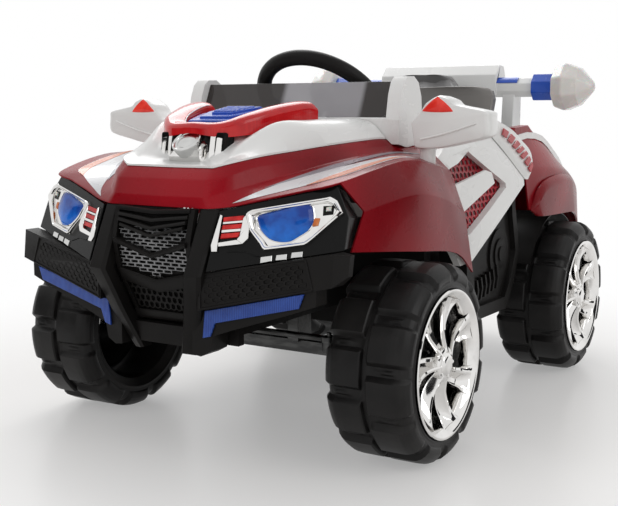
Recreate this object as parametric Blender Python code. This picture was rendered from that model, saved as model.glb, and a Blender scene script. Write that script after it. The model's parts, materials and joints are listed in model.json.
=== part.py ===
"""Electric ride-on car for a child, an off-road type, as separate moulded, turned and bent pieces.

The car stands on Z = 0 with its nose along -Y. X = 0 is the plane of symmetry and +X the car's left.
Y = 0 is midway between the axles. Lengths are in metres.
"""

import math

import bmesh
import bpy
from mathutils import Matrix, Vector

# Fits and walls
GAP = 0.0003
RUNNING = 0.0006
SKIN = 0.003
WELD = 0.00003

# Running gear
WHEELBASE = 0.671
TRACK = 0.587
WHEEL_RADIUS = 0.150
TYRE_WIDTH = 0.135
TYRE_BORE = 0.100
LUG_COUNT = 12
LUG_DEPTH = 0.009
LUG_SHARE = 0.64
LUG_FLANK = 0.09
GROOVE_WIDTH = 0.012
RIM_LIP_RADIUS = 0.112
RIM_LIP_STANDS = 0.0017
RIM_WALL = 0.003
BLADE_COUNT = 7
BLADE_ROOT_WIDTH = 0.019
BLADE_TIP_WIDTH = 0.040
BLADE_DEPTH = 0.013
BLADE_SWEEP = math.radians(24)
HUB_RADIUS = 0.026
AXLE_RADIUS = 0.006
TREAD_FOOT = 0.120
HUB_TUBE_INNER = -0.046
STUB_REACH = 0.030
KINGPIN_X = 0.190
KINGPIN_RADIUS = 0.004
KNUCKLE_RADIUS = 0.012
FORK_HALF_HEIGHT = 0.022
FORK_PLATE = 0.004
STEER_ARM = 0.060
TIE_ROD_RADIUS = 0.005
TIE_ROD_RISE = 0.030
BALL_PIN_RADIUS = 0.004
BALL_PIN_PLAY = 0.0035
EYE_HALF_HEIGHT = 0.004
SHOULDER_RADIUS = 0.0105
EAR_CORNERS = [
    (0.003, -0.0140), (0.003, 0.0100), (-0.009, 0.0170), (-0.016, 0.0170), (-0.016, 0.008),
    (-0.0055, -0.0140),
]

GEARBOX_X = (0.168, 0.212)

# Rails and floor of the tub
RAIL_X = 0.100
RAIL_WIDTH = 0.030
RAIL_FOOT = 0.050
RAIL_HEAD = 0.085
FLOOR_UNDER = 0.000
FLOOR = 0.010
FLOOR_HALF = 0.244

# Steering
COLUMN_TILT = math.radians(45)
COLUMN_RADIUS = 0.008
HAND_WHEEL_RADIUS = 0.121
HAND_WHEEL_TUBE = 0.0135
HAND_WHEEL_UP = 0.380
HAND_WHEEL_BACK = 0.237
HORN_RADIUS = 0.024
HORN_TRAVEL = 0.003

FRONT_AXLE_Y = -WHEELBASE / 2
REAR_AXLE_Y = WHEELBASE / 2
AXLE_Z = WHEEL_RADIUS
WHEEL_X = TRACK / 2

COLOURS = {
    "red": ((0.42, 0.008, 0.014), 0.25, 0.0),
    "clear_red": ((0.65, 0.010, 0.012), 0.15, 0.0),
    "white": ((0.86, 0.86, 0.85), 0.30, 0.0),
    "black": ((0.018, 0.018, 0.019), 0.42, 0.0),
    "tyre": ((0.022, 0.021, 0.021), 0.50, 0.0),
    "chrome": ((0.80, 0.80, 0.80), 0.08, 1.0),
    "blue": ((0.010, 0.070, 0.55), 0.15, 0.0),
    "smoke": ((0.060, 0.050, 0.048), 0.10, 0.0),
    "grey": ((0.200, 0.200, 0.205), 0.45, 0.0),
    "silver": ((0.52, 0.52, 0.52), 0.30, 0.8),
    "steel": ((0.55, 0.55, 0.56), 0.30, 1.0),
    "frost": ((0.83, 0.83, 0.80), 0.22, 0.0),
}


def clear_scene():
    for obj in list(bpy.data.objects):
        bpy.data.objects.remove(obj)


def material(name):
    found = bpy.data.materials.get(name)
    if found:
        return found
    colour, roughness, metallic = COLOURS[name]
    made = bpy.data.materials.new(name)
    made.use_nodes = True
    shader = made.node_tree.nodes["Principled BSDF"]
    shader.inputs["Base Color"].default_value = (*colour, 1)
    shader.inputs["Roughness"].default_value = roughness
    shader.inputs["Metallic"].default_value = metallic
    made.diffuse_color = (*colour, 1)
    return made


def fore(points):
    """Points given as width, length and height from the middle of the front axle."""
    return [Vector((x, FRONT_AXLE_Y + y, AXLE_Z + z)) for x, y, z in points]


def aft(points):
    """Points given as width, length and height from the middle of the rear axle."""
    return [Vector((x, REAR_AXLE_Y + y, AXLE_Z + z)) for x, y, z in points]


def by_wheel(points):
    """Points given as width, length from the front axle, and height from the middle of the hand wheel."""
    return [Vector((x, FRONT_AXLE_Y + y, AXLE_Z + HAND_WHEEL_UP + z)) for x, y, z in points]


def raised(outline):
    """An outline of widths and heights, the heights given from the axle."""
    return [(x, AXLE_Z + z) for x, z in outline]


def smooth_line(points, count):
    """A Catmull-Rom curve through the points, as count points evenly spread over its spans."""
    padded = [points[0] * 2 - points[1], *points, points[-1] * 2 - points[-2]]
    made = []
    for step in range(count):
        place = step * (len(points) - 1) / (count - 1)
        span = min(int(place), len(points) - 2)
        t = place - span
        a, b, c, d = padded[span : span + 4]
        made.append(
            0.5 * (
                2 * b + (c - a) * t + (2 * a - 5 * b + 4 * c - d) * t**2 + (3 * b - a - 3 * c + d) * t**3
            )
        )
    return made


def mesh_of(verts, faces):
    """A mesh with its doubled points merged and its faces turned outwards."""
    mesh = bpy.data.meshes.new("shape")
    mesh.from_pydata([tuple(v) for v in verts], [], faces)
    work = bmesh.new()
    work.from_mesh(mesh)
    bmesh.ops.remove_doubles(work, verts=work.verts, dist=1e-6)
    bmesh.ops.dissolve_degenerate(work, edges=work.edges, dist=1e-6)
    bmesh.ops.recalc_face_normals(work, faces=work.faces)
    work.to_mesh(mesh)
    work.free()
    return mesh


def place(name, mesh, finish, at=(0, 0, 0), pivot=None):
    """The named sub-part: a mesh with its material, set at a point, or with its origin on its pivot."""
    if pivot is not None:
        at = Vector(pivot)
        mesh.transform(Matrix.Translation(-at))
    mesh.name = name
    mesh.materials.clear()
    mesh.materials.append(material(finish))
    mesh.shade_smooth()
    mesh.set_sharp_from_angle(angle=math.radians(32))
    obj = bpy.data.objects.new(name, mesh)
    bpy.context.scene.collection.objects.link(obj)
    obj.location = at
    return obj


def loft(rings):
    """A closed body through rings of as many points each."""
    count = len(rings[0])
    verts = [point for ring in rings for point in ring]
    faces = [tuple(range(count))[::-1], tuple(range(count * (len(rings) - 1), count * len(rings)))]
    for row in range(len(rings) - 1):
        for col in range(count):
            a, b = row * count + col, row * count + (col + 1) % count
            faces.append((a, b, b + count, a + count))
    return mesh_of(verts, faces)


def prism(outline, along):
    return loft([[Vector(p) for p in outline], [Vector(p) + Vector(along) for p in outline]])


def box(low, high):
    (x0, y0, z0), (x1, y1, z1) = low, high
    return prism([(x0, y0, z0), (x1, y0, z0), (x1, y1, z0), (x0, y1, z0)], (0, 0, z1 - z0))


def turned(profile, steps, turn=0.0):
    """A body turned about X from (along, radius) points: a loop, or a chain with both ends at radius 0."""
    verts, rings = [], []
    for along, radius in profile:
        if radius == 0:
            rings.append([len(verts)] * steps)
            verts.append(Vector((along, 0, 0)))
            continue
        rings.append(list(range(len(verts), len(verts) + steps)))
        for step in range(steps):
            angle = turn + 2 * math.pi * step / steps
            verts.append(Vector((along, radius * math.sin(angle), -radius * math.cos(angle))))
    closed = profile[0][1] > 0
    faces = []
    for row in range(len(profile) - (0 if closed else 1)):
        this, after = rings[row], rings[(row + 1) % len(rings)]
        for step in range(steps):
            around = (step + 1) % steps
            face = [this[step], this[around], after[around], after[step]]
            faces.append([v for i, v in enumerate(face) if v != face[i - 1]])
    return mesh_of(verts, faces)


def rod(start, end, radius, steps=16):
    """A round bar between two points."""
    start, end = Vector(start), Vector(end)
    length = (end - start).length
    mesh = turned([(0, 0), (0, radius), (length, radius), (length, 0)], steps)
    turn = Vector((1, 0, 0)).rotation_difference(end - start).to_matrix().to_4x4()
    mesh.transform(Matrix.Translation(start) @ turn)
    return mesh


def mirrored(mesh):
    """A copy for the car's other side."""
    other = mesh.copy()
    other.transform(Matrix.Scale(-1, 4, Vector((1, 0, 0))))
    other.flip_normals()
    return other


def fused(bodies, cuts=()):
    """One mesh: the bodies joined, with the cuts taken out."""
    helpers = []
    for mesh in [*bodies, *cuts]:
        helper = bpy.data.objects.new("helper", mesh)
        bpy.context.scene.collection.objects.link(helper)
        helper.hide_render = True
        helper.display_type = "WIRE"
        helpers.append(helper)
    base = helpers[0]
    for index, helper in enumerate(helpers[1:], 1):
        step = base.modifiers.new("join", "BOOLEAN")
        step.operation = "UNION" if index < len(bodies) else "DIFFERENCE"
        step.solver = "EXACT"
        step.object = helper
    graph = bpy.context.evaluated_depsgraph_get()
    made = bpy.data.meshes.new_from_object(base.evaluated_get(graph))
    for helper in helpers:
        bpy.data.objects.remove(helper)
    work = bmesh.new()
    work.from_mesh(made)
    bmesh.ops.remove_doubles(work, verts=work.verts, dist=WELD)
    bmesh.ops.dissolve_degenerate(work, edges=work.edges, dist=WELD)
    flat = math.radians(0.05)
    bmesh.ops.dissolve_limit(work, angle_limit=flat, verts=work.verts, edges=work.edges)
    bmesh.ops.triangulate(work, faces=work.faces, ngon_method="EAR_CLIP")
    work.to_mesh(made)
    work.free()
    return made


def both_sides(name, mesh, finish, pivot=None):
    """The piece on the car's left, and its mirror image on the right."""
    other = mirrored(mesh)
    place("left_" + name, mesh, finish, pivot=pivot)
    place("right_" + name, other, finish, pivot=pivot and (-pivot[0], pivot[1], pivot[2]))


def slab(grid, drop, loop=False):
    """A closed panel whose upper face is the grid and whose lower face lies drop below it."""
    rows, cols = len(grid), len(grid[0])
    top = [point for row in grid for point in row]
    verts = top + [Vector(p) - Vector(drop) for p in top]
    low = len(top)
    faces, edges = [], {}
    for row in range(rows if loop else rows - 1):
        after = (row + 1) % rows * cols
        for col in range(cols - 1):
            a, b = row * cols + col, after + col
            face = (a, a + 1, b + 1, b)
            faces.append(face)
            faces.append(tuple(v + low for v in reversed(face)))
            for i in range(4):
                edge = (face[i], face[(i + 1) % 4])
                edges[tuple(sorted(edge))] = edges.get(tuple(sorted(edge)), []) + [edge]
    for found in edges.values():
        if len(found) == 1:
            a, b = found[0]
            faces.append((b, a, a + low, b + low))
    return mesh_of(verts, faces)


def both_halves(half):
    """A grid whose rows run from the centre outwards, with the other half added."""
    return [[Vector((-p[0], p[1], p[2])) for p in reversed(row) if p[0] > 1e-6] + row for row in half]


def skin(name, half_grid, finish, thickness=SKIN):
    """A moulded shell of even wall: half of its outer face, mirrored and thickened inwards."""
    index, verts, faces = {}, [], []
    for row, line in enumerate(half_grid):
        for col, point in enumerate(line):
            if point is not None:
                index[row, col] = len(verts)
                verts.append(point)
    for row, col in index:
        corners = [(row, col), (row + 1, col), (row + 1, col + 1), (row, col + 1)]
        if all(corner in index for corner in corners):
            faces.append([index[corner] for corner in corners])
    mesh = bpy.data.meshes.new(name)
    mesh.from_pydata([tuple(v) for v in verts], [], faces)
    work = bmesh.new()
    work.from_mesh(mesh)
    bmesh.ops.remove_doubles(work, verts=work.verts, dist=1e-5)
    bmesh.ops.dissolve_degenerate(work, edges=work.edges, dist=1e-5)
    work.to_mesh(mesh)
    work.free()
    obj = place(name, mesh, finish)
    mirror = obj.modifiers.new("other half", "MIRROR")
    mirror.merge_threshold = 0.0001
    wall = obj.modifiers.new("wall", "SOLIDIFY")
    wall.thickness = thickness
    wall.offset = -1
    wall.use_even_offset = True
    return obj


# Body feature lines. Each runs from the nose corner along one flank to the cabin opening.
HOOD_EDGE = fore([
    (0.080, -0.1985, 0.290), (0.0975, -0.1655, 0.2972), (0.117, -0.1265, 0.3048), (0.1387, -0.0725, 0.3114),
    (0.162, -0.0125, 0.3185), (0.184, 0.0905, 0.3257), (0.190, 0.1205, 0.3255), (0.210, 0.1885, 0.316),
])
LIP_UPPER = fore([
    (0.084, -0.2155, 0.274), (0.102, -0.1785, 0.2815), (0.121, -0.1375, 0.291), (0.1455, -0.0795, 0.300),
    (0.170, -0.0145, 0.3065), (0.193, 0.0875, 0.315), (0.202, 0.1205, 0.3155), (0.222, 0.1885, 0.3085),
])
LIP_LOWER = fore([
    (0.0856, -0.2248, 0.250), (0.105, -0.1845, 0.259), (0.125, -0.1465, 0.268), (0.150, -0.0895, 0.281),
    (0.178, -0.0165, 0.2955), (0.203, 0.0775, 0.3065), (0.216, 0.1305, 0.309), (0.240, 0.1885, 0.305),
])
FENDER_RIDGE = fore([
    (0.092, -0.2255, 0.236), (0.125, -0.2135, 0.2405), (0.165, -0.1965, 0.2505), (0.215, -0.1765, 0.2625),
    (0.262, -0.1545, 0.2745), (0.287, -0.0095, 0.299), (0.2885, 0.1005, 0.2875), (0.281, 0.1755, 0.274),
])
FENDER_CREASE = fore([
    (0.285, -0.127, 0.2335), (0.312, -0.0165, 0.250), (0.309, 0.1005, 0.234), (0.3015, 0.1915, 0.202),
])
FENDER_HEM = fore([
    (0.286, -0.1645, 0.181), (0.310, -0.0095, 0.166), (0.311, 0.1355, 0.1465), (0.310, 0.2085, 0.106),
])
NOSE_CENTRE = fore([(0, -0.196, 0.2893), (0, -0.2135, 0.274), (0, -0.2245, 0.250), (0, -0.227, 0.236)])
LAMP_SPAN = 4
PER_SPAN = 2
FLANGE = 0.012

# Hood lines between the two hood edges, from the middle outwards
HOOD_LINES = [
    fore([
        (0, -0.196, 0.2893), (0, -0.1665, 0.2955), (0, -0.1425, 0.318), (0, -0.0995, 0.338),
        (0, -0.0295, 0.351), (0, 0.0805, 0.358), (0, 0.1175, 0.358),
    ]),
    fore([
        (0.028, -0.1965, 0.2895), (0.034, -0.1665, 0.2957), (0.036, -0.1385, 0.318),
        (0.045, -0.0945, 0.338),
        (0.056, -0.0245, 0.351), (0.066, 0.0835, 0.358), (0.070, 0.1175, 0.358),
    ]),
    fore([
        (0.050, -0.1972, 0.2898), (0.060, -0.1665, 0.296), (0.066, -0.1345, 0.314), (0.083, -0.0845, 0.334),
        (0.097, -0.0195, 0.347), (0.108, 0.0855, 0.354), (0.112, 0.1175, 0.355),
    ]),
    fore([
        (0.066, -0.1978, 0.2899), (0.080, -0.1665, 0.300), (0.090, -0.1295, 0.327),
        (0.108, -0.0765, 0.3535),
        (0.124, -0.0145, 0.3555), (0.140, 0.0885, 0.357), (0.147, 0.1185, 0.356),
    ]),
    fore([
        (0.074, -0.1982, 0.290), (0.090, -0.166, 0.2998), (0.106, -0.1275, 0.318), (0.126, -0.0735, 0.3385),
        (0.145, -0.0135, 0.344), (0.163, 0.0895, 0.3465), (0.170, 0.1195, 0.346),
    ]),
]
HOOD_INSET = 0.0008

# Headlight panel: a flat face leaning back and swept along the flank
LAMP_CORNER = fore([(0.1116, -0.2215, 0.2286)])[0]
LAMP_SWEEP = 0.34
LAMP_LEAN = 0.425
LAMP_FACE = raised([(0.1065, 0.1515), (0.1065, 0.233), (0.258, 0.269), (0.281, 0.228), (0.284, 0.185)])
LAMP_REAR = raised([(0.1160, 0.1625), (0.1160, 0.233), (0.2640, 0.2705), (0.2880, 0.235), (0.2890, 0.1965)])
LAMP_BODY_DEPTH = 0.030
BEZEL = raised(
    [
        (0.1477, 0.2192), (0.2531, 0.253), (0.2700, 0.2326), (0.2321, 0.1937), (0.1789, 0.183),
        (0.1575, 0.2061),
    ]
)
BEZEL_HOLE = raised([
    (0.1545, 0.2175), (0.2515, 0.2475), (0.2630, 0.2324), (0.2290, 0.199), (0.1815, 0.1895), (0.1640, 0.206)
])
BEZEL_DEPTH = 0.007
LENS = raised([
    (0.1655, 0.2172), (0.2290, 0.2375), (0.2350, 0.222), (0.2222, 0.2035), (0.2015, 0.196), (0.1855, 0.195),
    (0.1695, 0.210),
])
MARKER = raised([(0.1120, 0.224), (0.1450, 0.220), (0.1420, 0.197), (0.1120, 0.189)])

LENS_POCKET = 0.008
LENS_DOME = 0.008


def lamp_point(across, up, out=0.0):
    """A point of the headlight panel, given by its width and height, with out metres of standing proud."""
    back = LAMP_CORNER.y + LAMP_SWEEP * (across - LAMP_CORNER.x) + LAMP_LEAN * (up - (LAMP_CORNER.z))
    face = Vector((across, back, up))
    normal = Vector((LAMP_SWEEP, -1, LAMP_LEAN)).normalized()
    return face + normal * out


def lamp_prism(outline, out, depth):
    """A piece with this outline on the headlight panel, standing out of it and reaching depth back."""
    normal = Vector((LAMP_SWEEP, -1, LAMP_LEAN)).normalized()
    return prism([lamp_point(x, z, out) for x, z in outline], -normal * depth)


def sampled(line):
    return smooth_line(line, (len(line) - 1) * PER_SPAN + 1)


def front_body():
    """The red nose and front wings: a moulded shell, open below at the wheels and in front at the lamps."""
    flange = [p - Vector((FLANGE, 0, 0)) for p in HOOD_EDGE]
    flange[0] = HOOD_EDGE[0] + Vector((-FLANGE / 2, FLANGE, 0))
    middle_flange = NOSE_CENTRE[0] + Vector((0, FLANGE, 0))
    rows = [[middle_flange, *sampled(flange)]]
    for centre, line in zip(NOSE_CENTRE, (HOOD_EDGE, LIP_UPPER, LIP_LOWER, FENDER_RIDGE)):
        rows.append([centre, *sampled(line)])
    skipped = 1 + LAMP_SPAN * PER_SPAN
    for line in (FENDER_CREASE, FENDER_HEM):
        rows.append([None] * skipped + sampled(line))
    return skin("front_body", rows, "red")


def hood_grid():
    """The hood's upper face from edge to edge, lifted clear of the flange that it rests on."""
    lift = Vector((0, 0, SKIN + 2 * GAP))
    edge = [p - Vector((HOOD_INSET, 0, 0)) for p in HOOD_EDGE[:-1]]
    lines = [[p + lift for p in sampled(line)] for line in [*HOOD_LINES, edge]]
    other = [[Vector((-p.x, p.y, p.z)) for p in line] for line in reversed(lines[1:])]
    return other + lines


def hood_block(grow=3 * GAP):
    """What a piece standing on the hood is cut with: the hood's upper face raised by a gap."""
    grid = [[p + Vector((0, 0, grow)) for p in row] for row in hood_grid()]
    return slab(grid, (0, 0, 0.060))


def hood():
    place("hood", slab(hood_grid(), (0, 0, SKIN)), "white")


def wing_block():
    """What a piece standing on the wings is cut with: their upper faces raised by a gap."""
    lift = Vector((0, 0, 3 * GAP))
    flange = [p - Vector((FLANGE, 0, 0)) for p in HOOD_EDGE]
    lines = []
    for line in (flange, HOOD_EDGE, LIP_UPPER, LIP_LOWER, FENDER_RIDGE):
        points = sampled(line)
        points.append(points[-1] + (points[-1] - points[-2]).normalized() * 2 * SKIN)
        lines.append([p + lift for p in points])
    return slab(lines, (0, 0, 0.060))


SCOOP_PATH = fore([
    (0, -0.1365, 0.340), (0.040, -0.1265, 0.340), (0.066, -0.0965, 0.352), (0.083, -0.0495, 0.364),
    (0.096, 0.0005, 0.371), (0.103, 0.0355, 0.371),
])
SCOOP_WIDTH = 0.036
SCOOP_FRONT_WIDTH = 0.024
SCOOP_DEPTH = 0.034


def along_directions(path):
    """The unit direction of a path at each of its points, seen from above."""
    made = []
    for i in range(len(path)):
        step = path[min(i + 1, len(path) - 1)] - path[max(i - 1, 0)]
        made.append(Vector((step.x, step.y, 0)).normalized())
    return made


def scoop_rings(path, width, front_width, rise, depth):
    """Sections of a rounded bar along a path across the hood."""
    rings = []
    for i, (point, ahead) in enumerate(zip(path, along_directions(path))):
        share = min(1, abs(point.x) / SCOOP_PATH[2].x)
        half = (front_width + (width - front_width) * share) / 2
        side = Vector((ahead.y, -ahead.x, 0))
        ring = [
            point + side * half - Vector((0, 0, depth)),
            point + side * half + Vector((0, 0, -rise * 0.5)),
            point + side * half * 0.55 + Vector((0, 0, rise * 0.35)),
            point - side * half * 0.45 + Vector((0, 0, rise * 0.35)),
            point - side * half + Vector((0, 0, -rise * 0.25)),
            point - side * half - Vector((0, 0, depth)),
        ]
        rings.append(ring)
    return rings


def scoop():
    """The clear red horseshoe on the hood, and the stepped blue panel inside it."""
    half = smooth_line(SCOOP_PATH, 7)
    path = [Vector((-p.x, p.y, p.z)) for p in reversed(half[1:])] + half
    body = loft(scoop_rings(path, SCOOP_WIDTH, SCOOP_FRONT_WIDTH, 0.012, SCOOP_DEPTH))
    notch = [emblem_disc(EMBLEM_RADIUS + 2 * GAP, 0.05), emblem_foot(4 * GAP)]
    place("scoop_lens", fused([body], [hood_block(), *notch]), "clear_red")


def blue_panel():
    """Three flat steps, each shorter and narrower than the one below."""
    base = fore([
        (-0.026, -0.1045, 0.355), (0.026, -0.1045, 0.355), (0.060, -0.0145, 0.377), (0.066, 0.0355, 0.380),
        (-0.066, 0.0355, 0.380), (-0.060, -0.0145, 0.377),
    ])
    steps = []
    for index, (shrink, rise) in enumerate(((1.0, 0.0), (0.74, 0.004), (0.46, 0.008))):
        middle = sum(base, Vector()) / len(base)
        ring = [middle + (p - middle) * shrink + Vector((0, 0, rise)) for p in base]
        steps.append(prism(ring, (0, 0, -0.03 - rise)))
    place("scoop_panel", fused(steps, [hood_block()]), "blue")


EMBLEM_SEAT = fore([(0, -0.1505, 0.318)])[0]
EMBLEM_RADIUS = 0.019
EMBLEM_LEAN = math.radians(38)
EMBLEM_FOOT = fore([(0.020, -0.1645, 0.294), (0.022, -0.153, 0.320)])


def emblem_disc(radius, height):
    """The badge seat's round body, leaning forward on the hood."""
    disc = rod((0, 0, -0.012), (0, 0, height), radius, 28)
    disc.transform(Matrix.Translation(EMBLEM_SEAT) @ Matrix.Rotation(EMBLEM_LEAN, 4, "X"))
    return disc


def emblem_foot(grow):
    low, high = EMBLEM_FOOT
    out = Vector((grow, 0, 0))
    other = Vector((-1, 1, 1))
    front = [
        -1 * Vector((low.x, 0, 0)) + Vector((-grow, low.y, low.z - grow)), low + out,
        high + out + Vector((0, 0, grow)),
    ]
    front.append(front[2] * other.x + Vector((0, 2 * front[2].y, 2 * front[2].z)))
    return prism(front, (0, 0.010 + grow, -0.004))


def emblem():
    """The round chrome badge seat at the front of the hood, left blank, on its tapered foot."""
    dish = EMBLEM_SEAT + Matrix.Rotation(EMBLEM_LEAN, 3, "X") @ Vector((0, 0, 0.006))
    up = Matrix.Rotation(EMBLEM_LEAN, 3, "X") @ Vector((0, 0, 1))
    hollow = rod(dish, dish + up * 0.01, EMBLEM_RADIUS * 0.78, 28)
    place(
        "hood_emblem", fused([emblem_disc(EMBLEM_RADIUS, 0.008), emblem_foot(0)], [hollow, hood_block()]),
        "chrome",
    )


# Cowl, windscreen and dash
EAR_INNER_X = 0.1885
EAR_THICKNESS = 0.0245
EAR_FOOT_FRONT = fore([(0, 0.122, 0.318)])
EAR_TOP = by_wheel([
    (0, 0.122, -0.023), (0, 0.1305, 0.018), (0, 0.1395, 0.038), (0, 0.1515, 0.047),
    (0, 0.1755, 0.048), (0, 0.1935, 0.038), (0, 0.2045, 0.015), (0, 0.2075, -0.015),
])
EAR_FOOT_BACK = fore([(0, 0.2005, 0.305), (0, 0.1855, 0.305)])
EAR_OUTLINE = EAR_FOOT_FRONT + EAR_TOP + EAR_FOOT_BACK
COWL_PROFILE = by_wheel([
    (0, 0.122, -0.052), (0, 0.122, -0.0215), (0, 0.1285, -0.019), (0, 0.1395, -0.019), (0, 0.1795, -0.031),
    (0, 0.1795, -0.0395), (0, 0.1605, -0.050),
])
SCREEN_THICKNESS = 0.004
SCREEN_FOOT = by_wheel([(0, 0.1305, -0.019)])[0]
SCREEN_HEAD = by_wheel([(0, 0.1565, 0.0395)])[0]
SCREEN_CORNER = 0.012


def cowl():
    """The white windscreen hoop: a cross rail with a rounded ear at each end."""
    rail = prism(
        [p + Vector((-EAR_INNER_X - 0.004, 0, 0)) for p in COWL_PROFILE], (2 * EAR_INNER_X + 0.008, 0, 0)
    )
    ears = []
    for side in (-1, 1):
        ring = [Vector((side * EAR_INNER_X, p.y, p.z)) for p in EAR_OUTLINE]
        ears.append(prism(ring, (side * EAR_THICKNESS, 0, 0)))
    blocks = [wing_block(), mirrored(wing_block())]
    place("cowl", fused([rail, *ears], blocks), "white")


def windscreen():
    """A smoked plate between the ears, with rounded lower corners."""
    foot, head = SCREEN_FOOT + Vector((0, 0, GAP)), SCREEN_HEAD
    half = EAR_INNER_X - GAP
    rise = head - foot
    outline = []
    for side in (-1, 1):
        corner = [
            (half, 1.0), (half, SCREEN_CORNER / rise.length), (half - SCREEN_CORNER * 0.3, 0.06),
            (half - SCREEN_CORNER, 0.0),
        ]
        for x, share in corner if side == 1 else reversed(corner):
            outline.append(foot + rise * share + Vector((side * x, 0, 0)))
    place("windscreen", prism(outline, (0, SCREEN_THICKNESS, 0)), "smoke")


DASH = by_wheel([
    (0, 0.1798, -0.031), (0, 0.1975, -0.0325), (0, 0.2375, -0.110), (0, 0.2375, -0.170),
    (0, 0.2175, -0.170),
    (0, 0.186, -0.070), (0, 0.1798, -0.050),
])
DASH_HALF = 0.185


# Controls on the dash
BUTTON_RADIUS = 0.011
BUTTON_X = 0.110
LEVER_X = -0.110
LEVER_SLOT = (0.014, 0.034)
LEVER_LENGTH = 0.045
LEVER_PIVOT_DEPTH = 0.010
LEVER_PIN_RADIUS = 0.003
LEVER_PIN_SEAT = 0.006
DASH_MID = by_wheel([(0, 0.2175, -0.071)])[0]


def column_axis():
    return Vector((0, math.cos(COLUMN_TILT), math.sin(COLUMN_TILT)))


def hand_wheel_centre():
    return Vector((0, FRONT_AXLE_Y + HAND_WHEEL_BACK, AXLE_Z + HAND_WHEEL_UP))


def column_point(down):
    return hand_wheel_centre() - column_axis() * down


def dash_panel():
    """The black instrument moulding, bored for the steering column."""
    body = prism([p + Vector((-DASH_HALF, 0, 0)) for p in DASH], (2 * DASH_HALF, 0, 0))
    bore = rod(column_point(-0.05), column_point(0.40), COLUMN_RADIUS + RUNNING, 24)
    lever_slot = box(*slot_box(GAP * 4))
    button = rod(*button_ends(0.02), BUTTON_RADIUS + GAP * 2, 20)
    pivot = lever_pin(RUNNING)
    place("dash_panel", fused([body], [bore, lever_slot, pivot, button]), "black")


def dash_normal():
    """Square out of the dash's sloping face, towards the driver."""
    slope = DASH[2] - DASH[1]
    return Vector((0, -slope.z, slope.y)).normalized()


def button_ends(depth):
    face = Vector((BUTTON_X, DASH_MID.y, DASH_MID.z))
    return face + dash_normal() * 0.03, face - dash_normal() * depth


def slot_box(extra):
    """The lever's slot right through the dash moulding."""
    wide, tall = LEVER_SLOT
    low = (LEVER_X - wide / 2 - extra, DASH_MID.y - tall, DASH_MID.z - tall / 2 - extra)
    high = (LEVER_X + wide / 2 + extra, DASH_MID.y + tall, DASH_MID.z + tall / 2 + extra)
    return low, high


def lever_pivot():
    return Vector((LEVER_X, DASH_MID.y, DASH_MID.z)) - dash_normal() * LEVER_PIVOT_DEPTH


def lever_pin(grow=0.0):
    """The cross pin that carries the lever in the walls of its slot."""
    reach = Vector((LEVER_SLOT[0] / 2 + LEVER_PIN_SEAT + grow, 0, 0))
    return rod(lever_pivot() - reach, lever_pivot() + reach, LEVER_PIN_RADIUS + grow, 16)


def power_button():
    out, _ = button_ends(0.01)
    face = out - dash_normal() * 0.03
    cap = rod(face - dash_normal() * 0.012, face + dash_normal() * 0.005, BUTTON_RADIUS, 20)
    place("power_button", cap, "red", pivot=face)


def gear_lever():
    """The forward and reverse lever: a flat blade on a cross pivot, with a round knob."""
    pivot = lever_pivot()
    blade_end = pivot + dash_normal() * LEVER_LENGTH
    blade = rod(pivot, blade_end, 0.004, 10)
    boss = rod(
        pivot - Vector((LEVER_SLOT[0] / 2 - 0.0002, 0, 0)),
        pivot + Vector((LEVER_SLOT[0] / 2 - 0.0002, 0, 0)), 0.0065, 16,
    )
    knob = turned([(-0.012, 0), (-0.010, 0.007), (0, 0.011), (0.010, 0.007), (0.012, 0)], 16)
    knob.transform(Matrix.Translation(blade_end))
    place("gear_lever", fused([boss, lever_pin(), blade, knob]), "black", pivot=pivot)


def steering():
    """The column with its crank and pin, the hand wheel, and the horn button."""
    axis = column_axis()
    centre = hand_wheel_centre()
    tie = tie_rod_centre()
    down = (centre - tie).dot(axis)
    low = centre - axis * down
    throw = tie - low
    shaft = rod(centre - axis * 0.006, low - axis * 0.004 + axis * 0.012, COLUMN_RADIUS, 16)
    reach = throw.normalized()
    side = Vector((1, 0, 0))
    arm_ring = []
    for along, half in (
        (-0.012, 0.006), (-0.012, -0.006), (throw.length + 0.006, -0.006), (throw.length + 0.006, 0.006)
    ):
        arm_ring.append(low + reach * along + side * half + axis * 0.004)
    arm = prism(arm_ring, axis * 0.008)
    pin = rod(tie + axis * 0.006, tie - axis * 0.0055, BALL_PIN_RADIUS, 16)
    place("steering_column", fused([shaft, arm, pin]), "steel", pivot=centre)


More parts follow.
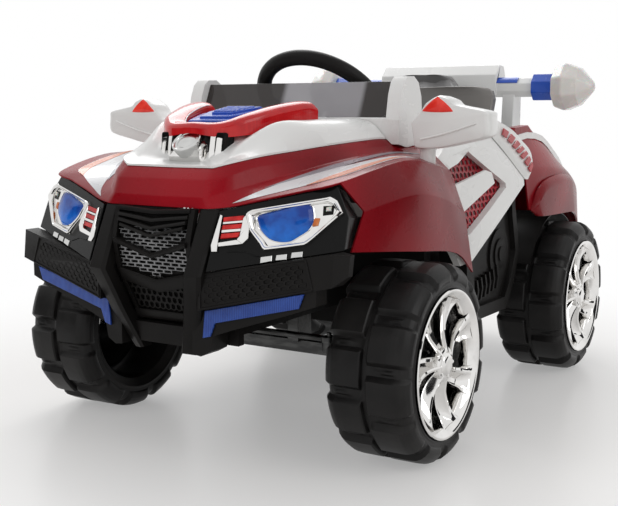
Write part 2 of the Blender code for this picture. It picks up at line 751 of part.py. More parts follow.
def hand_wheel():
    axis = column_axis()
    centre = hand_wheel_centre()
    up = Vector((0, -math.sin(COLUMN_TILT), math.cos(COLUMN_TILT)))
    side = Vector((1, 0, 0))
    steps, around = 36, 8
    major = HAND_WHEEL_RADIUS - HAND_WHEEL_TUBE
    verts, faces = [], []
    for i in range(steps):
        angle = 2 * math.pi * i / steps
        out = side * math.cos(angle) + up * math.sin(angle)
        for j in range(around):
            turn = 2 * math.pi * j / around
            verts.append(
                centre + axis * 0.010 + out * (major + HAND_WHEEL_TUBE * math.cos(turn))
                + axis * HAND_WHEEL_TUBE * math.sin(turn)
            )
    for i in range(steps):
        for j in range(around):
            a, b = i * around + j, i * around + (j + 1) % around
            c, d = ((i + 1) % steps) * around + (j + 1) % around, ((i + 1) % steps) * around + j
            faces.append((a, b, c, d))
    rim = mesh_of(verts, faces)
    hub = rod(centre - axis * (0.006 + 0.012), centre + axis * 0.016, 0.040, 24)
    spokes = []
    for angle in (math.radians(0), math.radians(180), math.radians(270)):
        out = side * math.cos(angle) + up * math.sin(angle)
        across = axis.cross(out)
        ring = []
        for along, half in ((0.030, 0.020), (0.030, -0.020), (major, -0.013), (major, 0.013)):
            ring.append(centre + out * along + across * half + axis * 0.002)
        spokes.append(prism(ring, axis * 0.010))
    socket = rod(
        centre - axis * 0.03, centre - axis * (0.006 - GAP) + axis * 0.0003, COLUMN_RADIUS + GAP, 16
    )
    well = rod(centre + axis * 0.006, centre + axis * 0.03, HORN_RADIUS + GAP * 2, 24)
    place("steering_wheel", fused([rim, hub, *spokes], [socket, well]), "black", pivot=centre)
    cap = rod(centre + axis * (0.006 + HORN_TRAVEL + GAP), centre + axis * 0.022, HORN_RADIUS, 24)
    place("horn_button", cap, "grey", pivot=centre)


def crank_reach():
    """The way the crank points at rest, square to the column."""
    return Vector((0, math.sin(COLUMN_TILT), -math.cos(COLUMN_TILT)))


def tie_rod_centre():
    return Vector((0, FRONT_AXLE_Y - STEER_ARM, AXLE_Z + TIE_ROD_RISE + 0.0175))


def tie_rod():
    """The bar that joins the steering arms, with an eye at each end and a fork for the crank pin."""
    y, z = FRONT_AXLE_Y - STEER_ARM, AXLE_Z + TIE_ROD_RISE
    eye_outer = BALL_PIN_RADIUS + BALL_PIN_PLAY + 0.005
    bar = rod(
        (-KINGPIN_X + eye_outer - 0.002, y, z), (KINGPIN_X - eye_outer + 0.002, y, z), TIE_ROD_RADIUS, 12
    )
    parts, holes = [bar], []
    for side in (-1, 1):
        x = side * KINGPIN_X
        parts.append(rod((x, y, z - EYE_HALF_HEIGHT), (x, y, z + EYE_HALF_HEIGHT), eye_outer, 20))
        holes.append(rod((x, y, z - 0.02), (x, y, z + 0.02), BALL_PIN_RADIUS + BALL_PIN_PLAY, 20))
        ear = []
        for along, across in EAR_CORNERS:
            corner = tie_rod_centre() + column_axis() * along + crank_reach() * across
            ear.append(corner + Vector((side * (BALL_PIN_RADIUS + 2 * RUNNING), 0, 0)))
        parts.append(prism(ear, (side * 0.003, 0, 0)))
    parts.append(box((-0.0085, y - 0.008, z - 0.005), (0.0085, y + 0.008, z + 0.003)))
    place("tie_rod", fused(parts, holes), "steel", pivot=(0, y, z))


def front_axle():
    """The steel beam with a fork and kingpin at each end, and the brackets that bolt it to the rails."""
    y, z = FRONT_AXLE_Y, AXLE_Z
    beam_end = KINGPIN_X - KNUCKLE_RADIUS - 0.004
    parts = [box((-beam_end, y - 0.012, z - 0.010), (beam_end, y + 0.012, z + 0.010))]
    for side in (-1, 1):
        low_x, high_x = sorted((side * (beam_end - 0.004), side * beam_end))
        parts.append(
            box(
                (low_x, y - 0.012, z - FORK_HALF_HEIGHT - FORK_PLATE),
                (high_x, y + 0.012, z + FORK_HALF_HEIGHT + FORK_PLATE),
            )
        )
        low_x, high_x = sorted((side * (beam_end - 0.004), side * (KINGPIN_X + 0.008)))
        for level in (-FORK_HALF_HEIGHT - FORK_PLATE, FORK_HALF_HEIGHT):
            parts.append(box((low_x, y - 0.012, z + level), (high_x, y + 0.012, z + level + FORK_PLATE)))
        x = side * KINGPIN_X
        parts.append(
            rod(
                (x, y, z - FORK_HALF_HEIGHT - FORK_PLATE - 0.003),
                (x, y, z + FORK_HALF_HEIGHT + FORK_PLATE + 0.003), KINGPIN_RADIUS, 16,
            )
        )
        low_x, high_x = sorted((side * (RAIL_X - 0.010), side * (RAIL_X + 0.010)))
        parts.append(box((low_x, y - 0.020, z + 0.008), (high_x, y + 0.020, AXLE_Z + RAIL_FOOT - GAP)))
    place("front_axle", fused(parts), "steel")


def knuckles():
    """Each steering knuckle: a barrel on the kingpin, the stub axle, and the arm with its ball pin."""
    y, z = FRONT_AXLE_Y, AXLE_Z
    half = FORK_HALF_HEIGHT - GAP
    barrel = rod((KINGPIN_X, y, z - half), (KINGPIN_X, y, z + half), KNUCKLE_RADIUS, 20)
    stub = rod((KINGPIN_X + 0.006, y, z), (WHEEL_X + STUB_REACH, y, z), AXLE_RADIUS, 16)
    collar = rod((KINGPIN_X + 0.006, y, z), (WHEEL_X + HUB_TUBE_INNER - RUNNING, y, z), 0.011, 16)
    arm_y = y - STEER_ARM
    arm = box((KINGPIN_X - 0.007, arm_y - 0.008, z + 0.010), (KINGPIN_X + 0.007, y, z + 0.016))
    pin = rod(
        (KINGPIN_X, arm_y, z + 0.012), (KINGPIN_X, arm_y, z + TIE_ROD_RISE + 0.010), BALL_PIN_RADIUS, 16
    )
    shoulder_top = z + TIE_ROD_RISE - EYE_HALF_HEIGHT - GAP
    shoulder = rod((KINGPIN_X, arm_y, z + 0.012), (KINGPIN_X, arm_y, shoulder_top), SHOULDER_RADIUS, 16)
    bore = rod((KINGPIN_X, y, z - 0.05), (KINGPIN_X, y, z + 0.05), KINGPIN_RADIUS + RUNNING, 20)
    both_sides(
        "knuckle", fused([barrel, collar, stub, arm, shoulder, pin], [bore]), "steel",
        pivot=(KINGPIN_X, y, z),
    )


def tyre():
    """A tyre of two rows of chunky lugs, the rows half a pitch apart, that wrap on to the side walls."""
    half = TYRE_WIDTH / 2
    profile = [
        (GROOVE_WIDTH * 0.35, WHEEL_RADIUS - 0.008, WHEEL_RADIUS - 0.008),
        (GROOVE_WIDTH * 0.75, WHEEL_RADIUS, WHEEL_RADIUS - LUG_DEPTH),
        (half - 0.015, WHEEL_RADIUS, WHEEL_RADIUS - LUG_DEPTH),
        (half - 0.001, WHEEL_RADIUS - 0.014, WHEEL_RADIUS - 0.020),
        (half - 0.004, RIM_LIP_RADIUS + 0.001, RIM_LIP_RADIUS + 0.001),
        (half - 0.0125, TYRE_BORE, TYRE_BORE),
    ]
    pitch = 2 * math.pi / LUG_COUNT
    columns = [0.0, LUG_SHARE, LUG_SHARE + LUG_FLANK, 1.0 - LUG_FLANK]
    rings = []
    for side in (-1, 1):
        ordered = list(reversed(profile)) if side == -1 else profile
        for along, lug, slot in ordered:
            ring = []
            for lump in range(LUG_COUNT):
                for index, column in enumerate(columns):
                    share = index / len(columns) if lug < TREAD_FOOT else column
                    stagger = 0.5 if side == -1 and lug > TYRE_BORE else 0.0
                    angle = pitch * (lump + share + stagger)
                    radius = lug if index < 2 else slot
                    ring.append(Vector((side * along, radius * math.sin(angle), -radius * math.cos(angle))))
            rings.append(ring)
    count = len(rings[0])
    verts = [p for ring in rings for p in ring]
    faces = []
    for row in range(len(rings)):
        after = (row + 1) % len(rings)
        for col in range(count):
            right = (col + 1) % count
            faces.append(
                (row * count + col, row * count + right, after * count + right, after * count + col)
            )
    return mesh_of(verts, faces)


def blade(index):
    """One swept spoke, from the hub to the rim's lip: widening, and thinning towards its edge."""
    rings = []
    for step in range(4):
        share = step / 3
        radius = HUB_RADIUS - 0.006 + (TYRE_BORE - RIM_WALL - HUB_RADIUS + 0.0068) * share
        angle = 2 * math.pi * index / BLADE_COUNT + BLADE_SWEEP * (share - 0.5 * share**2)
        out = Vector((0, math.sin(angle), -math.cos(angle)))
        across = Vector((0, math.cos(angle), math.sin(angle)))
        half = (BLADE_ROOT_WIDTH + (BLADE_TIP_WIDTH - BLADE_ROOT_WIDTH) * share) / 2
        face = TYRE_WIDTH / 2 - 0.004 - 0.008 * math.sin(math.pi * share)
        rings.append([
            out * radius + across * half + Vector((face - BLADE_DEPTH, 0, 0)),
            out * radius + across * half * 0.9 + Vector((face - 0.006, 0, 0)),
            out * radius + across * half * 0.1 + Vector((face, 0, 0)),
            out * radius - across * half + Vector((face - 0.003, 0, 0)),
            out * radius - across * half * 0.7 + Vector((face - BLADE_DEPTH, 0, 0)),
        ])
    return loft(rings)


def rim():
    """A chrome wheel: a turned barrel with a rolled lip, a bored hub, and swept blades between them."""
    half = TYRE_WIDTH / 2
    seat = TYRE_BORE - 2 * GAP
    barrel = turned([
        (-half + 0.0115, seat), (half - 0.0110, seat), (half - 0.0008, RIM_LIP_RADIUS - 0.003),
        (half - 0.0008, RIM_LIP_RADIUS), (half + RIM_LIP_STANDS, RIM_LIP_RADIUS),
        (half + RIM_LIP_STANDS, RIM_LIP_RADIUS - 0.004),
        (half - 0.006, seat - RIM_WALL), (-half + 0.0115, seat - RIM_WALL),
    ], 32)
    hub = turned([
        (HUB_TUBE_INNER, 0), (HUB_TUBE_INNER, 0.015), (half - 0.024, 0.015), (half - 0.020, HUB_RADIUS),
        (half - 0.008, HUB_RADIUS), (half - 0.003, HUB_RADIUS - 0.008), (half - 0.001, 0.010),
        (half - 0.001, 0),
    ], 21)
    bore = rod((HUB_TUBE_INNER - 0.01, 0, 0), (STUB_REACH + 0.001, 0, 0), AXLE_RADIUS + RUNNING, 20)
    return fused([barrel, hub, *[blade(i) for i in range(BLADE_COUNT)]], [bore])


def wheels():
    tyre_shape, rim_shape = tyre(), rim()
    for end, y in (("front", FRONT_AXLE_Y), ("rear", REAR_AXLE_Y)):
        for side, sign in (("left", 1), ("right", -1)):
            for name, shape, finish in (("tyre", tyre_shape, "tyre"), ("rim", rim_shape, "chrome")):
                mesh = shape.copy() if sign == 1 else mirrored(shape)
                place(f"{end}_{side}_{name}", mesh, finish, at=(sign * WHEEL_X, y, AXLE_Z))


def rear_drive():
    """The rear axle with a motor gearbox beside each wheel."""
    y, z = REAR_AXLE_Y, AXLE_Z
    reach = WHEEL_X + STUB_REACH
    place("rear_axle", rod((-reach, y, z), (reach, y, z), AXLE_RADIUS, 16), "steel")
    inner, outer = GEARBOX_X
    case = prism(
        [
            (inner, y - 0.085, z + 0.005), (inner, y - 0.060, z + 0.045), (inner, y + 0.020, z + 0.034),
            (inner, y + 0.034, z), (inner, y + 0.020, z - 0.030), (inner, y - 0.050, z - 0.020),
        ],
        (outer - inner, 0, 0),
    )
    motor = rod((inner - 0.060, y - 0.055, z + 0.014), (inner + 0.004, y - 0.055, z + 0.014), 0.018, 18)
    nose = rod((outer - 0.002, y, z), (WHEEL_X + HUB_TUBE_INNER - RUNNING, y, z), 0.014, 18)
    bore = rod((inner - 0.1, y, z), (outer + 0.1, y, z), AXLE_RADIUS + GAP, 20)
    both_sides("gearbox", fused([case, motor, nose], [bore]), "black")


# Headlights
def headlights():
    """The black lamp panel with its pocket, the silver bezel, the blue lens and the red marker."""
    body = loft([
        [lamp_point(x, z) for x, z in LAMP_FACE],
        [lamp_point(x, z, -LAMP_BODY_DEPTH) for x, z in LAMP_REAR],
    ])
    pocket = lamp_prism(BEZEL_HOLE, 0.01, 0.01 + LENS_POCKET)
    both_sides("headlight_housing", fused([body], [pocket]), "black")
    ring = lamp_prism(BEZEL, BEZEL_DEPTH, BEZEL_DEPTH - GAP)
    hole = lamp_prism(BEZEL_HOLE, BEZEL_DEPTH + 0.01, BEZEL_DEPTH + 0.02)
    both_sides("headlight_bezel", fused([ring], [hole]), "silver")
    middle = sum((Vector((x, 0, z)) for x, z in LENS), Vector()) / len(LENS)
    inner = [(middle.x + (x - middle.x) * 0.6, middle.z + (z - middle.z) * 0.6) for x, z in LENS]
    lens = loft([
        [lamp_point(x, z, GAP - LENS_POCKET) for x, z in LENS],
        [lamp_point(x, z, 0.002) for x, z in LENS],
        [lamp_point(x, z, LENS_DOME) for x, z in inner],
    ])
    both_sides("headlight_lens", lens, "blue")
    both_sides("marker_lamp", lamp_prism(MARKER, 0.005, 0.005 - GAP), "clear_red")


# Front bumper: two bars cranked forward at a knee, each with a shelf and a bracket outside it
BAR_OUTER = fore(
    [
        (0.1043, -0.2219, 0.234), (0.1027, -0.2652, 0.145), (0.0830, -0.2405, 0.080),
        (0.0607, -0.2125, 0.0193),
    ]
)
BAR_INNER = fore(
    [
        (0.0738, -0.2259, 0.234), (0.0718, -0.2655, 0.1428), (0.0545, -0.2445, 0.079),
        (0.0353, -0.2259, 0.0227),
    ]
)
BAR_DEPTH = 0.024
BAR_CHAMFER = 0.005
SHELF_INNER = fore(
    [(0.090, -0.2515, 0.1475), (0.090, -0.2525, 0.095), (0.090, -0.1995, 0.095), (0.090, -0.1995, 0.1475)]
)
SHELF_OUTER = fore(
    [(0.285, -0.2115, 0.1835), (0.285, -0.2165, 0.139), (0.285, -0.1845, 0.139), (0.285, -0.1845, 0.1835)]
)
SHELF_TIP = fore(
    [(0.298, -0.190, 0.180), (0.295, -0.1902, 0.151), (0.295, -0.1785, 0.151), (0.298, -0.1785, 0.180)]
)
BRACKET = fore([
    (0.066, 0, 0.027), (0.080, 0, 0.025), (0.095, 0, 0.033), (0.100, 0, 0.056), (0.130, 0, 0.067),
    (0.220, 0, 0.097), (0.262, 0, 0.112), (0.262, 0, 0.1435), (0.066, 0, 0.120),
])
BRACKET_BACK = fore([(0, -0.1905, 0)])[0].y
BRACKET_FRONT = fore([(0.245, -0.2202, 0)])[0]
BRACKET_SLOPE = 0.0796
STRIP = fore([
    (0.0860, 0, 0.053), (0.0980, 0, 0.056), (0.1060, 0, 0.076), (0.2376, 0, 0.1079), (0.2459, 0, 0.1285),
    (0.2300, 0, 0.125), (0.0900, 0, 0.0922),
])
STRIP_STANDS = 0.004
CROSS_LOW = fore([(-0.054, -0.2235, 0.033)])[0]
CROSS_HIGH = fore([(0.054, -0.1955, 0.062)])[0]


def bar_ring(outer, inner, depth=BAR_DEPTH):
    """A bumper bar's section, with its front edges chamfered."""
    back = Vector((0, depth, 0))
    front = Vector((0, BAR_CHAMFER, 0))
    across = (outer - inner) * 0.16
    return [outer - across, inner + across, inner + front, inner + back, outer + back, outer + front]


def bracket_face(point, out=0.0):
    """The sloping front of the bracket, at a point's width and height."""
    return Vector((point.x, BRACKET_FRONT.y - (BRACKET_FRONT.x - point.x) * BRACKET_SLOPE - out, point.z))


def front_bumper():
    left = [
        loft([bar_ring(outer, inner) for outer, inner in zip(BAR_OUTER, BAR_INNER)]),
        loft([SHELF_INNER, SHELF_OUTER, SHELF_TIP]),
        loft([[bracket_face(p) for p in BRACKET], [Vector((p.x, BRACKET_BACK, p.z)) for p in BRACKET]]),
    ]
    place("front_bumper", fused([box(CROSS_LOW, CROSS_HIGH), *left, *map(mirrored, left)]), "black")


def bumper_strips():
    """The blue strip along the bracket below each shelf."""
    strip = loft([[bracket_face(p, GAP) for p in STRIP], [bracket_face(p, STRIP_STANDS) for p in STRIP]])
    both_sides("bumper_strip", strip, "blue")


GRILLE_EDGE = fore(
    [(0.0736, -0.2325, 0.234), (0.0726, -0.244, 0.188), (0.0716, -0.2365, 0.143), (0.0496, -0.214, 0.065)]
)
GRILLE_DEPTH = 0.010
CHEVRON_TOPS = fore([(0, 0, 0.212), (0, 0, 0.180), (0, 0, 0.146), (0, 0, 0.110)])
CHEVRON_DROP = 0.026
CHEVRON_HEIGHT = 0.013


def grille():
    """The panel between the bars, open in chevrons one above another."""
    inset = Vector((GAP * 2, 0, 0))
    rings = []
    for p in GRILLE_EDGE:
        a = p - inset
        b = Vector((-a.x, a.y, a.z))
        rings.append([a, b, b + Vector((0, GRILLE_DEPTH, 0)), a + Vector((0, GRILLE_DEPTH, 0))])
    cuts = []
    for index, top in enumerate(CHEVRON_TOPS):
        half = 0.058 - 0.009 * index
        outline = [
            (-half, -1, top.z), (-half, -1, top.z - CHEVRON_HEIGHT),
            (0, -1, top.z - CHEVRON_HEIGHT - CHEVRON_DROP * half / 0.058),
            (half, -1, top.z - CHEVRON_HEIGHT), (half, -1, top.z),
            (0, -1, top.z - CHEVRON_DROP * half / 0.058),
        ]
        cuts.append(prism(outline, (0, 1, 0)))
    place("grille", fused([loft(rings)], cuts), "black")


# Sides: a white frame behind each front wing, round a pierced red panel
FRAME_OUTER = fore([
    (0.246, 0.1635, 0.286), (0.250, 0.1925, 0.294), (0.252, 0.2155, 0.313), (0.265, 0.3015, 0.3225),
    (0.265, 0.3805, 0.3285),
    (0.2815, 0.4335, 0.287), (0.298, 0.4775, 0.246), (0.300, 0.4755, 0.235), (0.304, 0.3455, 0.180),
    (0.305, 0.2155, 0.123), (0.297, 0.1855, 0.118), (0.290, 0.1655, 0.150),
])
FRAME_INNER = fore([
    (0.264, 0.1835, 0.264), (0.272, 0.1955, 0.278), (0.276, 0.2175, 0.285), (0.270, 0.2735, 0.303),
    (0.272, 0.2905, 0.295),
    (0.2830, 0.3405, 0.269), (0.295, 0.3905, 0.243), (0.296, 0.3905, 0.235), (0.300, 0.2905, 0.197),
    (0.303, 0.2135, 0.170), (0.297, 0.1875, 0.162), (0.291, 0.1855, 0.185),
])
FRAME_SEATS = fore([(0, 0.3455, 0.189), (0, 0.4355, 0.226), (0, 0.2505, 0.1465)])
FRAME_THICKNESS = 0.012
FRAME_CROWN = 0.003
BAR_OUTLINE = fore(
    [
        (0.284, 0.1695, 0.248), (0.292, 0.3025, 0.270), (0.2935, 0.3255, 0.265), (0.2945, 0.3385, 0.246),
        (0.290, 0.2125, 0.205), (0.286, 0.1695, 0.192),
    ]
)
BAR_THICKNESS = 0.006
MESH_OUTLINE = fore(
    [
        (0, 0.1935, 0.268), (0, 0.2175, 0.292), (0, 0.2755, 0.310), (0, 0.3995, 0.246), (0, 0.3995, 0.232),
        (0, 0.2905, 0.190), (0, 0.2155, 0.163), (0, 0.1905, 0.180),
    ]
)
MESH_ORIGIN = fore([(0.2537, 0.2735, 0.303)])[0]
MESH_SLOPE_UP = -0.2933
MESH_SLOPE_BACK = 0.0616
MESH_THICKNESS = 0.003
HOLE_PITCH = (0.0215, 0.0165)
HOLE_SIZE = (0.0155, 0.0130)


def mesh_x(y, z):
    return MESH_ORIGIN.x + MESH_SLOPE_UP * (z - MESH_ORIGIN.z) + MESH_SLOPE_BACK * (y - MESH_ORIGIN.y)


def side_frames():
    """A flat-sided hoop with a blank bar across its opening, and its mirror image."""
    rows = []
    for outer, inner in zip(FRAME_OUTER, FRAME_INNER):
        middle = (outer + inner) / 2 + Vector((FRAME_CROWN, 0, 0))
        rows.append([outer, middle, inner])
    hoop = slab(rows, (FRAME_THICKNESS, 0, 0), loop=True)
    bar = prism(BAR_OUTLINE, (-BAR_THICKNESS, 0, 0))
    bosses = []
    for seat in FRAME_SEATS:
        start = Vector((SILL_OUTER + GAP, seat.y, seat.z))
        bosses.append(rod(start, start + Vector((0.008, 0, 0)), 0.006, 12))
    both_sides("side_frame", fused([hoop, bar, *bosses]), "white")


def inside(point, outline):
    """True if the point lies in the outline, both seen from the side."""
    found = False
    for a, b in zip(outline, outline[1:] + outline[:1]):
        if (a.z > point.z) != (b.z > point.z):
            if point.y < a.y + (b.y - a.y) * (point.z - a.z) / (b.z - a.z):
                found = not found
    return found


def side_meshes():
    """The red panel behind each frame, pierced with staggered six-sided holes."""
    outline = [Vector((mesh_x(p.y, p.z), p.y, p.z)) for p in MESH_OUTLINE]
    panel = prism(outline, (-MESH_THICKNESS, 0, 0))
    wide, tall = HOLE_SIZE
    corners = [(-0.5, 0), (-0.25, 0.5), (0.25, 0.5), (0.5, 0), (0.25, -0.5), (-0.25, -0.5)]
    holes = []
    for row in range(-1, 10):
        for col in range(-4, 12):
            middle = MESH_OUTLINE[0] + Vector(
                (0, (col + 0.5 * (row % 2)) * HOLE_PITCH[0], (5 - row) * HOLE_PITCH[1] * 0.9)
            )
            ring = [middle + Vector((-1, y * wide, z * tall)) for y, z in corners]
            if all(
                inside(middle + Vector((0, y * wide * 1.35, z * tall * 1.35)), MESH_OUTLINE)
                for y, z in corners
            ):
                holes.append(prism([Vector((0.2, p.y, p.z)) for p in ring], (0.2, 0, 0)))
    both_sides("side_mesh", fused([panel], holes), "red")


# Chassis
FLOOR_FRONT = fore([(0, 0.1805, 0)])[0].y
FLOOR_BACK = aft([(0, -0.1655, 0)])[0].y
TAIL = aft([(0, 0.2445, 0)])[0].y
DECK_RISE = 0.100
DECK_HALF = 0.205
SILL = aft([
    (0, -0.4205, 0.008), (0, -0.2375, 0.0055), (0, -0.2005, 0.050), (0, -0.1735, 0.109),
    (0, -0.2015, 0.195), (0, -0.2075, 0.242),
    (0, -0.3255, 0.200), (0, -0.4355, 0.152),
])
SILL_INNER = 0.236
SILL_OUTER = 0.2860
SILL_RECESS = 0.010
DISC_AT = aft([(0, -0.2635, 0.112)])[0]
DISC_RADIUS = 0.046
STEP_RIBS = 6
AXLE_PLATE = (0.114, 0.126)
FRONT_PLATE = fore([(0, -0.190, 0.035), (0, -0.1765, 0.112)])
FIREWALL_TOP = 0.190
TAIL_REST = aft(
    [(0, 0.2345, 0.095), (0, 0.242, 0.095), (0, 0.2509, 0.112), (0, 0.2539, 0.180), (0, 0.2465, 0.180)]
)
TAIL_REST_HALF = 0.090


def sill_prism(outline, low, high):
    return prism([Vector((low, p.y, p.z)) for p in outline], (high - low, 0, 0))


def sill(side):
    """One side of the tub: the boxed sill with its round boss, its ribs and the recess round them."""
    middle = sum(SILL, Vector()) / len(SILL)
    recess = [middle + (p - middle) * 0.80 for p in SILL]
    body = sill_prism(SILL, SILL_INNER, SILL_OUTER)
    cut = sill_prism(recess, SILL_OUTER - SILL_RECESS, SILL_OUTER + 0.01)
    added = []
    boss = [(-0.004, 0)]
    for share, stands in ((1.0, 0.004), (0.62, 0.007), (0.30, 0.0095)):
        boss += [(boss[-1][0], DISC_RADIUS * share), (stands, DISC_RADIUS * share)]
    disc = turned([*boss, (boss[-1][0], 0)], 28)
    disc.transform(Matrix.Translation(Vector((SILL_OUTER - SILL_RECESS, DISC_AT.y, DISC_AT.z))))
    added.append(disc)
    for rib in range(STEP_RIBS):
        y = SILL[0].y + 0.040 + rib * 0.019
        z = SILL[0].z + 0.030 + rib * 0.0025
        ring = [
            (y, z), (y + 0.006, z), (y + 0.013, z + 0.020), (y + 0.006, z + 0.040), (y, z + 0.040),
            (y + 0.007, z + 0.020),
        ]
        added.append(
            prism([(SILL_OUTER - SILL_RECESS - 0.001, a, b) for a, b in ring], (SILL_RECESS - 0.001, 0, 0))
        )
    shape = fused([fused([body], [cut]), *added])
    return shape if side == 1 else mirrored(shape)


def chassis():
    """The black tub: floor, sills, rails, firewall, bulkhead, deck and the plates that carry the axle."""
    floor_z = AXLE_Z + FLOOR_UNDER
    parts = [
        box((-FLOOR_HALF, FLOOR_FRONT, floor_z), (FLOOR_HALF, FLOOR_BACK, floor_z + FLOOR)),
        box(
            (-FLOOR_HALF + 0.01, FLOOR_FRONT, floor_z),
            (FLOOR_HALF - 0.01, FLOOR_FRONT + 0.008, AXLE_Z + FIREWALL_TOP),
        ),
        box((-DECK_HALF, FLOOR_BACK - 0.001, floor_z), (DECK_HALF, FLOOR_BACK + 0.012, AXLE_Z + DECK_RISE)),
        box((-DECK_HALF, FLOOR_BACK, AXLE_Z + DECK_RISE - 0.010), (DECK_HALF, TAIL, AXLE_Z + DECK_RISE)),
        prism([p - Vector((TAIL_REST_HALF, 0, 0)) for p in TAIL_REST], (2 * TAIL_REST_HALF, 0, 0)),
        box((-0.115, FRONT_PLATE[0].y, FRONT_PLATE[0].z), (0.115, FRONT_PLATE[1].y, FRONT_PLATE[1].z)),
        sill(1), sill(-1),
    ]
    for side in (-1, 1):
        low, high = sorted((side * (RAIL_X - RAIL_WIDTH / 2), side * (RAIL_X + RAIL_WIDTH / 2)))
        parts.append(
            box(
                (low, FRONT_PLATE[1].y - 0.004, AXLE_Z + RAIL_FOOT),
                (high, FLOOR_FRONT + 0.004, AXLE_Z + RAIL_HEAD),
            )
        )
        low, high = sorted(side * x for x in AXLE_PLATE)
        parts.append(
            box(
                (low, REAR_AXLE_Y - 0.035, AXLE_Z - 0.014),
                (high, REAR_AXLE_Y + 0.035, AXLE_Z + DECK_RISE - 0.005),
            )
        )
    bore = rod((-0.2, REAR_AXLE_Y, AXLE_Z), (0.2, REAR_AXLE_Y, AXLE_Z), AXLE_RADIUS + RUNNING, 20)
    place("chassis", fused(parts, [bore]), "black")


# Rear body
REAR_TOP = aft([
    (0.262, -0.1755, 0.308), (0.262, -0.0855, 0.318), (0.262, 0.0045, 0.310), (0.260, 0.0845, 0.280),
    (0.250, 0.1845, 0.242),
    (0.215, 0.2445, 0.225), (0.110, 0.2535, 0.226), (0, 0.2545, 0.227),
])
REAR_RIDGE = aft([
    (0.292, -0.1675, 0.250), (0.300, -0.0855, 0.255), (0.305, -0.0005, 0.250), (0.300, 0.0945, 0.238),
    (0.285, 0.1845, 0.205),
    (0.240, 0.2525, 0.185), (0.120, 0.2575, 0.185), (0, 0.2585, 0.185),
])
REAR_HEM = aft([
    (0.300, -0.1655, 0.186), (0.306, -0.1105, 0.182), (0.308, -0.0005, 0.168), (0.305, 0.1045, 0.159),
    (0.290, 0.1845, 0.125),
    (0.250, 0.2445, 0.112), (0.120, 0.2545, 0.112), (0, 0.2555, 0.112),
])


def rear_body():
    """The red rear wings and tail, one moulded shell."""
    skin("rear_body", [sampled(line) for line in (REAR_TOP, REAR_RIDGE, REAR_HEM)], "red")


DECK_THICKNESS = 0.012
DECK_LINES = [
    aft([
        (0.214, -0.3655, 0.336), (0.214, -0.3055, 0.346), (0.212, -0.2555, 0.342), (0.206, -0.1755, 0.326),
        (0.200, -0.0855, 0.326), (0.196, 0.0045, 0.320),
        (0.190, 0.0845, 0.292), (0.185, 0.1845, 0.254), (0.170, 0.2365, 0.238),
    ]),
    aft([
        (0.245, -0.3655, 0.340), (0.245, -0.3055, 0.351), (0.242, -0.2555, 0.347), (0.238, -0.1755, 0.330),
        (0.236, -0.0855, 0.336), (0.234, 0.0045, 0.328),
        (0.230, 0.0845, 0.298), (0.224, 0.1845, 0.256), (0.198, 0.2405, 0.238),
    ]),
    aft([(0.268, -0.3655, 0.336), (0.270, -0.3055, 0.341), (0.270, -0.2555, 0.337)])
    + [p + Vector((0.002, 0, DECK_THICKNESS + 2 * GAP)) for p in REAR_TOP[:6]],
]
DECK_BACK = aft([(0, -0.0005, 0.302), (0, 0.2385, 0.240)])


def rear_deck():
    """The white deck: an arm rail on each side that runs back into a plate across the tail."""
    half = [smooth_line(line, 17) for line in DECK_LINES]
    rest = Vector((0.002, 0, DECK_THICKNESS + 2 * GAP))
    half[2][6:] = [p + rest for p in sampled(REAR_TOP)[:11]]
    arms = slab(half, (0, 0, DECK_THICKNESS))
    plate = []
    for row in (0, 1):
        p = DECK_BACK[row]
        plate.append(p)
    reach = DECK_LINES[0][5].x + 0.009
    wide = [
        (-reach, plate[0].y, plate[0].z), (reach, plate[0].y, plate[0].z),
        (DECK_LINES[0][8].x + 0.01, plate[1].y, plate[1].z - 0.002),
        (-DECK_LINES[0][8].x - 0.01, plate[1].y, plate[1].z - 0.002),
    ]
    across = prism(wide, (0, 0, -0.006))
    place("rear_deck", fused([across, arms, mirrored(arms)]), "white")


# Rear bumper, tail lights
TAIL_BUMPER = aft(
    [
        (0, 0.241, 0.040), (0, 0.2545, 0.034), (0, 0.2655, 0.046), (0, 0.2655, 0.086), (0, 0.2565, 0.0965),
        (0, 0.241, 0.0965),
    ]
)
TAIL_BUMPER_HALF = 0.190
TAIL_LIGHT = aft([(0.145, 0, 0.150), (0.222, 0, 0.146), (0.228, 0, 0.176), (0.150, 0, 0.178)])


def rear_bumper():
    """A rounded black bar across the tail, bolted to the end of the chassis deck."""
    half = TAIL_BUMPER_HALF
    body = prism([p + Vector((-half, 0, 0)) for p in TAIL_BUMPER], (2 * half, 0, 0))
    deck_end = box(
        (-DECK_HALF - 0.01, TAIL - 0.05, AXLE_Z + DECK_RISE - 0.0103),
        (DECK_HALF + 0.01, TAIL + GAP, AXLE_Z + DECK_RISE + 0.0003),
    )
    place("rear_bumper", fused([body], [deck_end]), "black")


def tail_point(point, out):
    """A point on the tail panel, at a point's width and height."""
    edge = []
    for line in (REAR_HEM, REAR_RIDGE):
        after = next(i for i, p in enumerate(sampled(line)) if i > 8 and p.x < point.x)
        a, b = sampled(line)[after - 1 : after + 1]
        edge.append(a.lerp(b, (point.x - a.x) / (b.x - a.x)))
    share = (point.z - edge[0].z) / (edge[1].z - edge[0].z)
    return Vector((point.x, edge[0].lerp(edge[1], share).y + out, point.z))


def tail_lights():
    light = loft([[tail_point(p, 0.0034) for p in TAIL_LIGHT], [tail_point(p, 0.0070) for p in TAIL_LIGHT]])
    both_sides("tail_light", light, "clear_red")


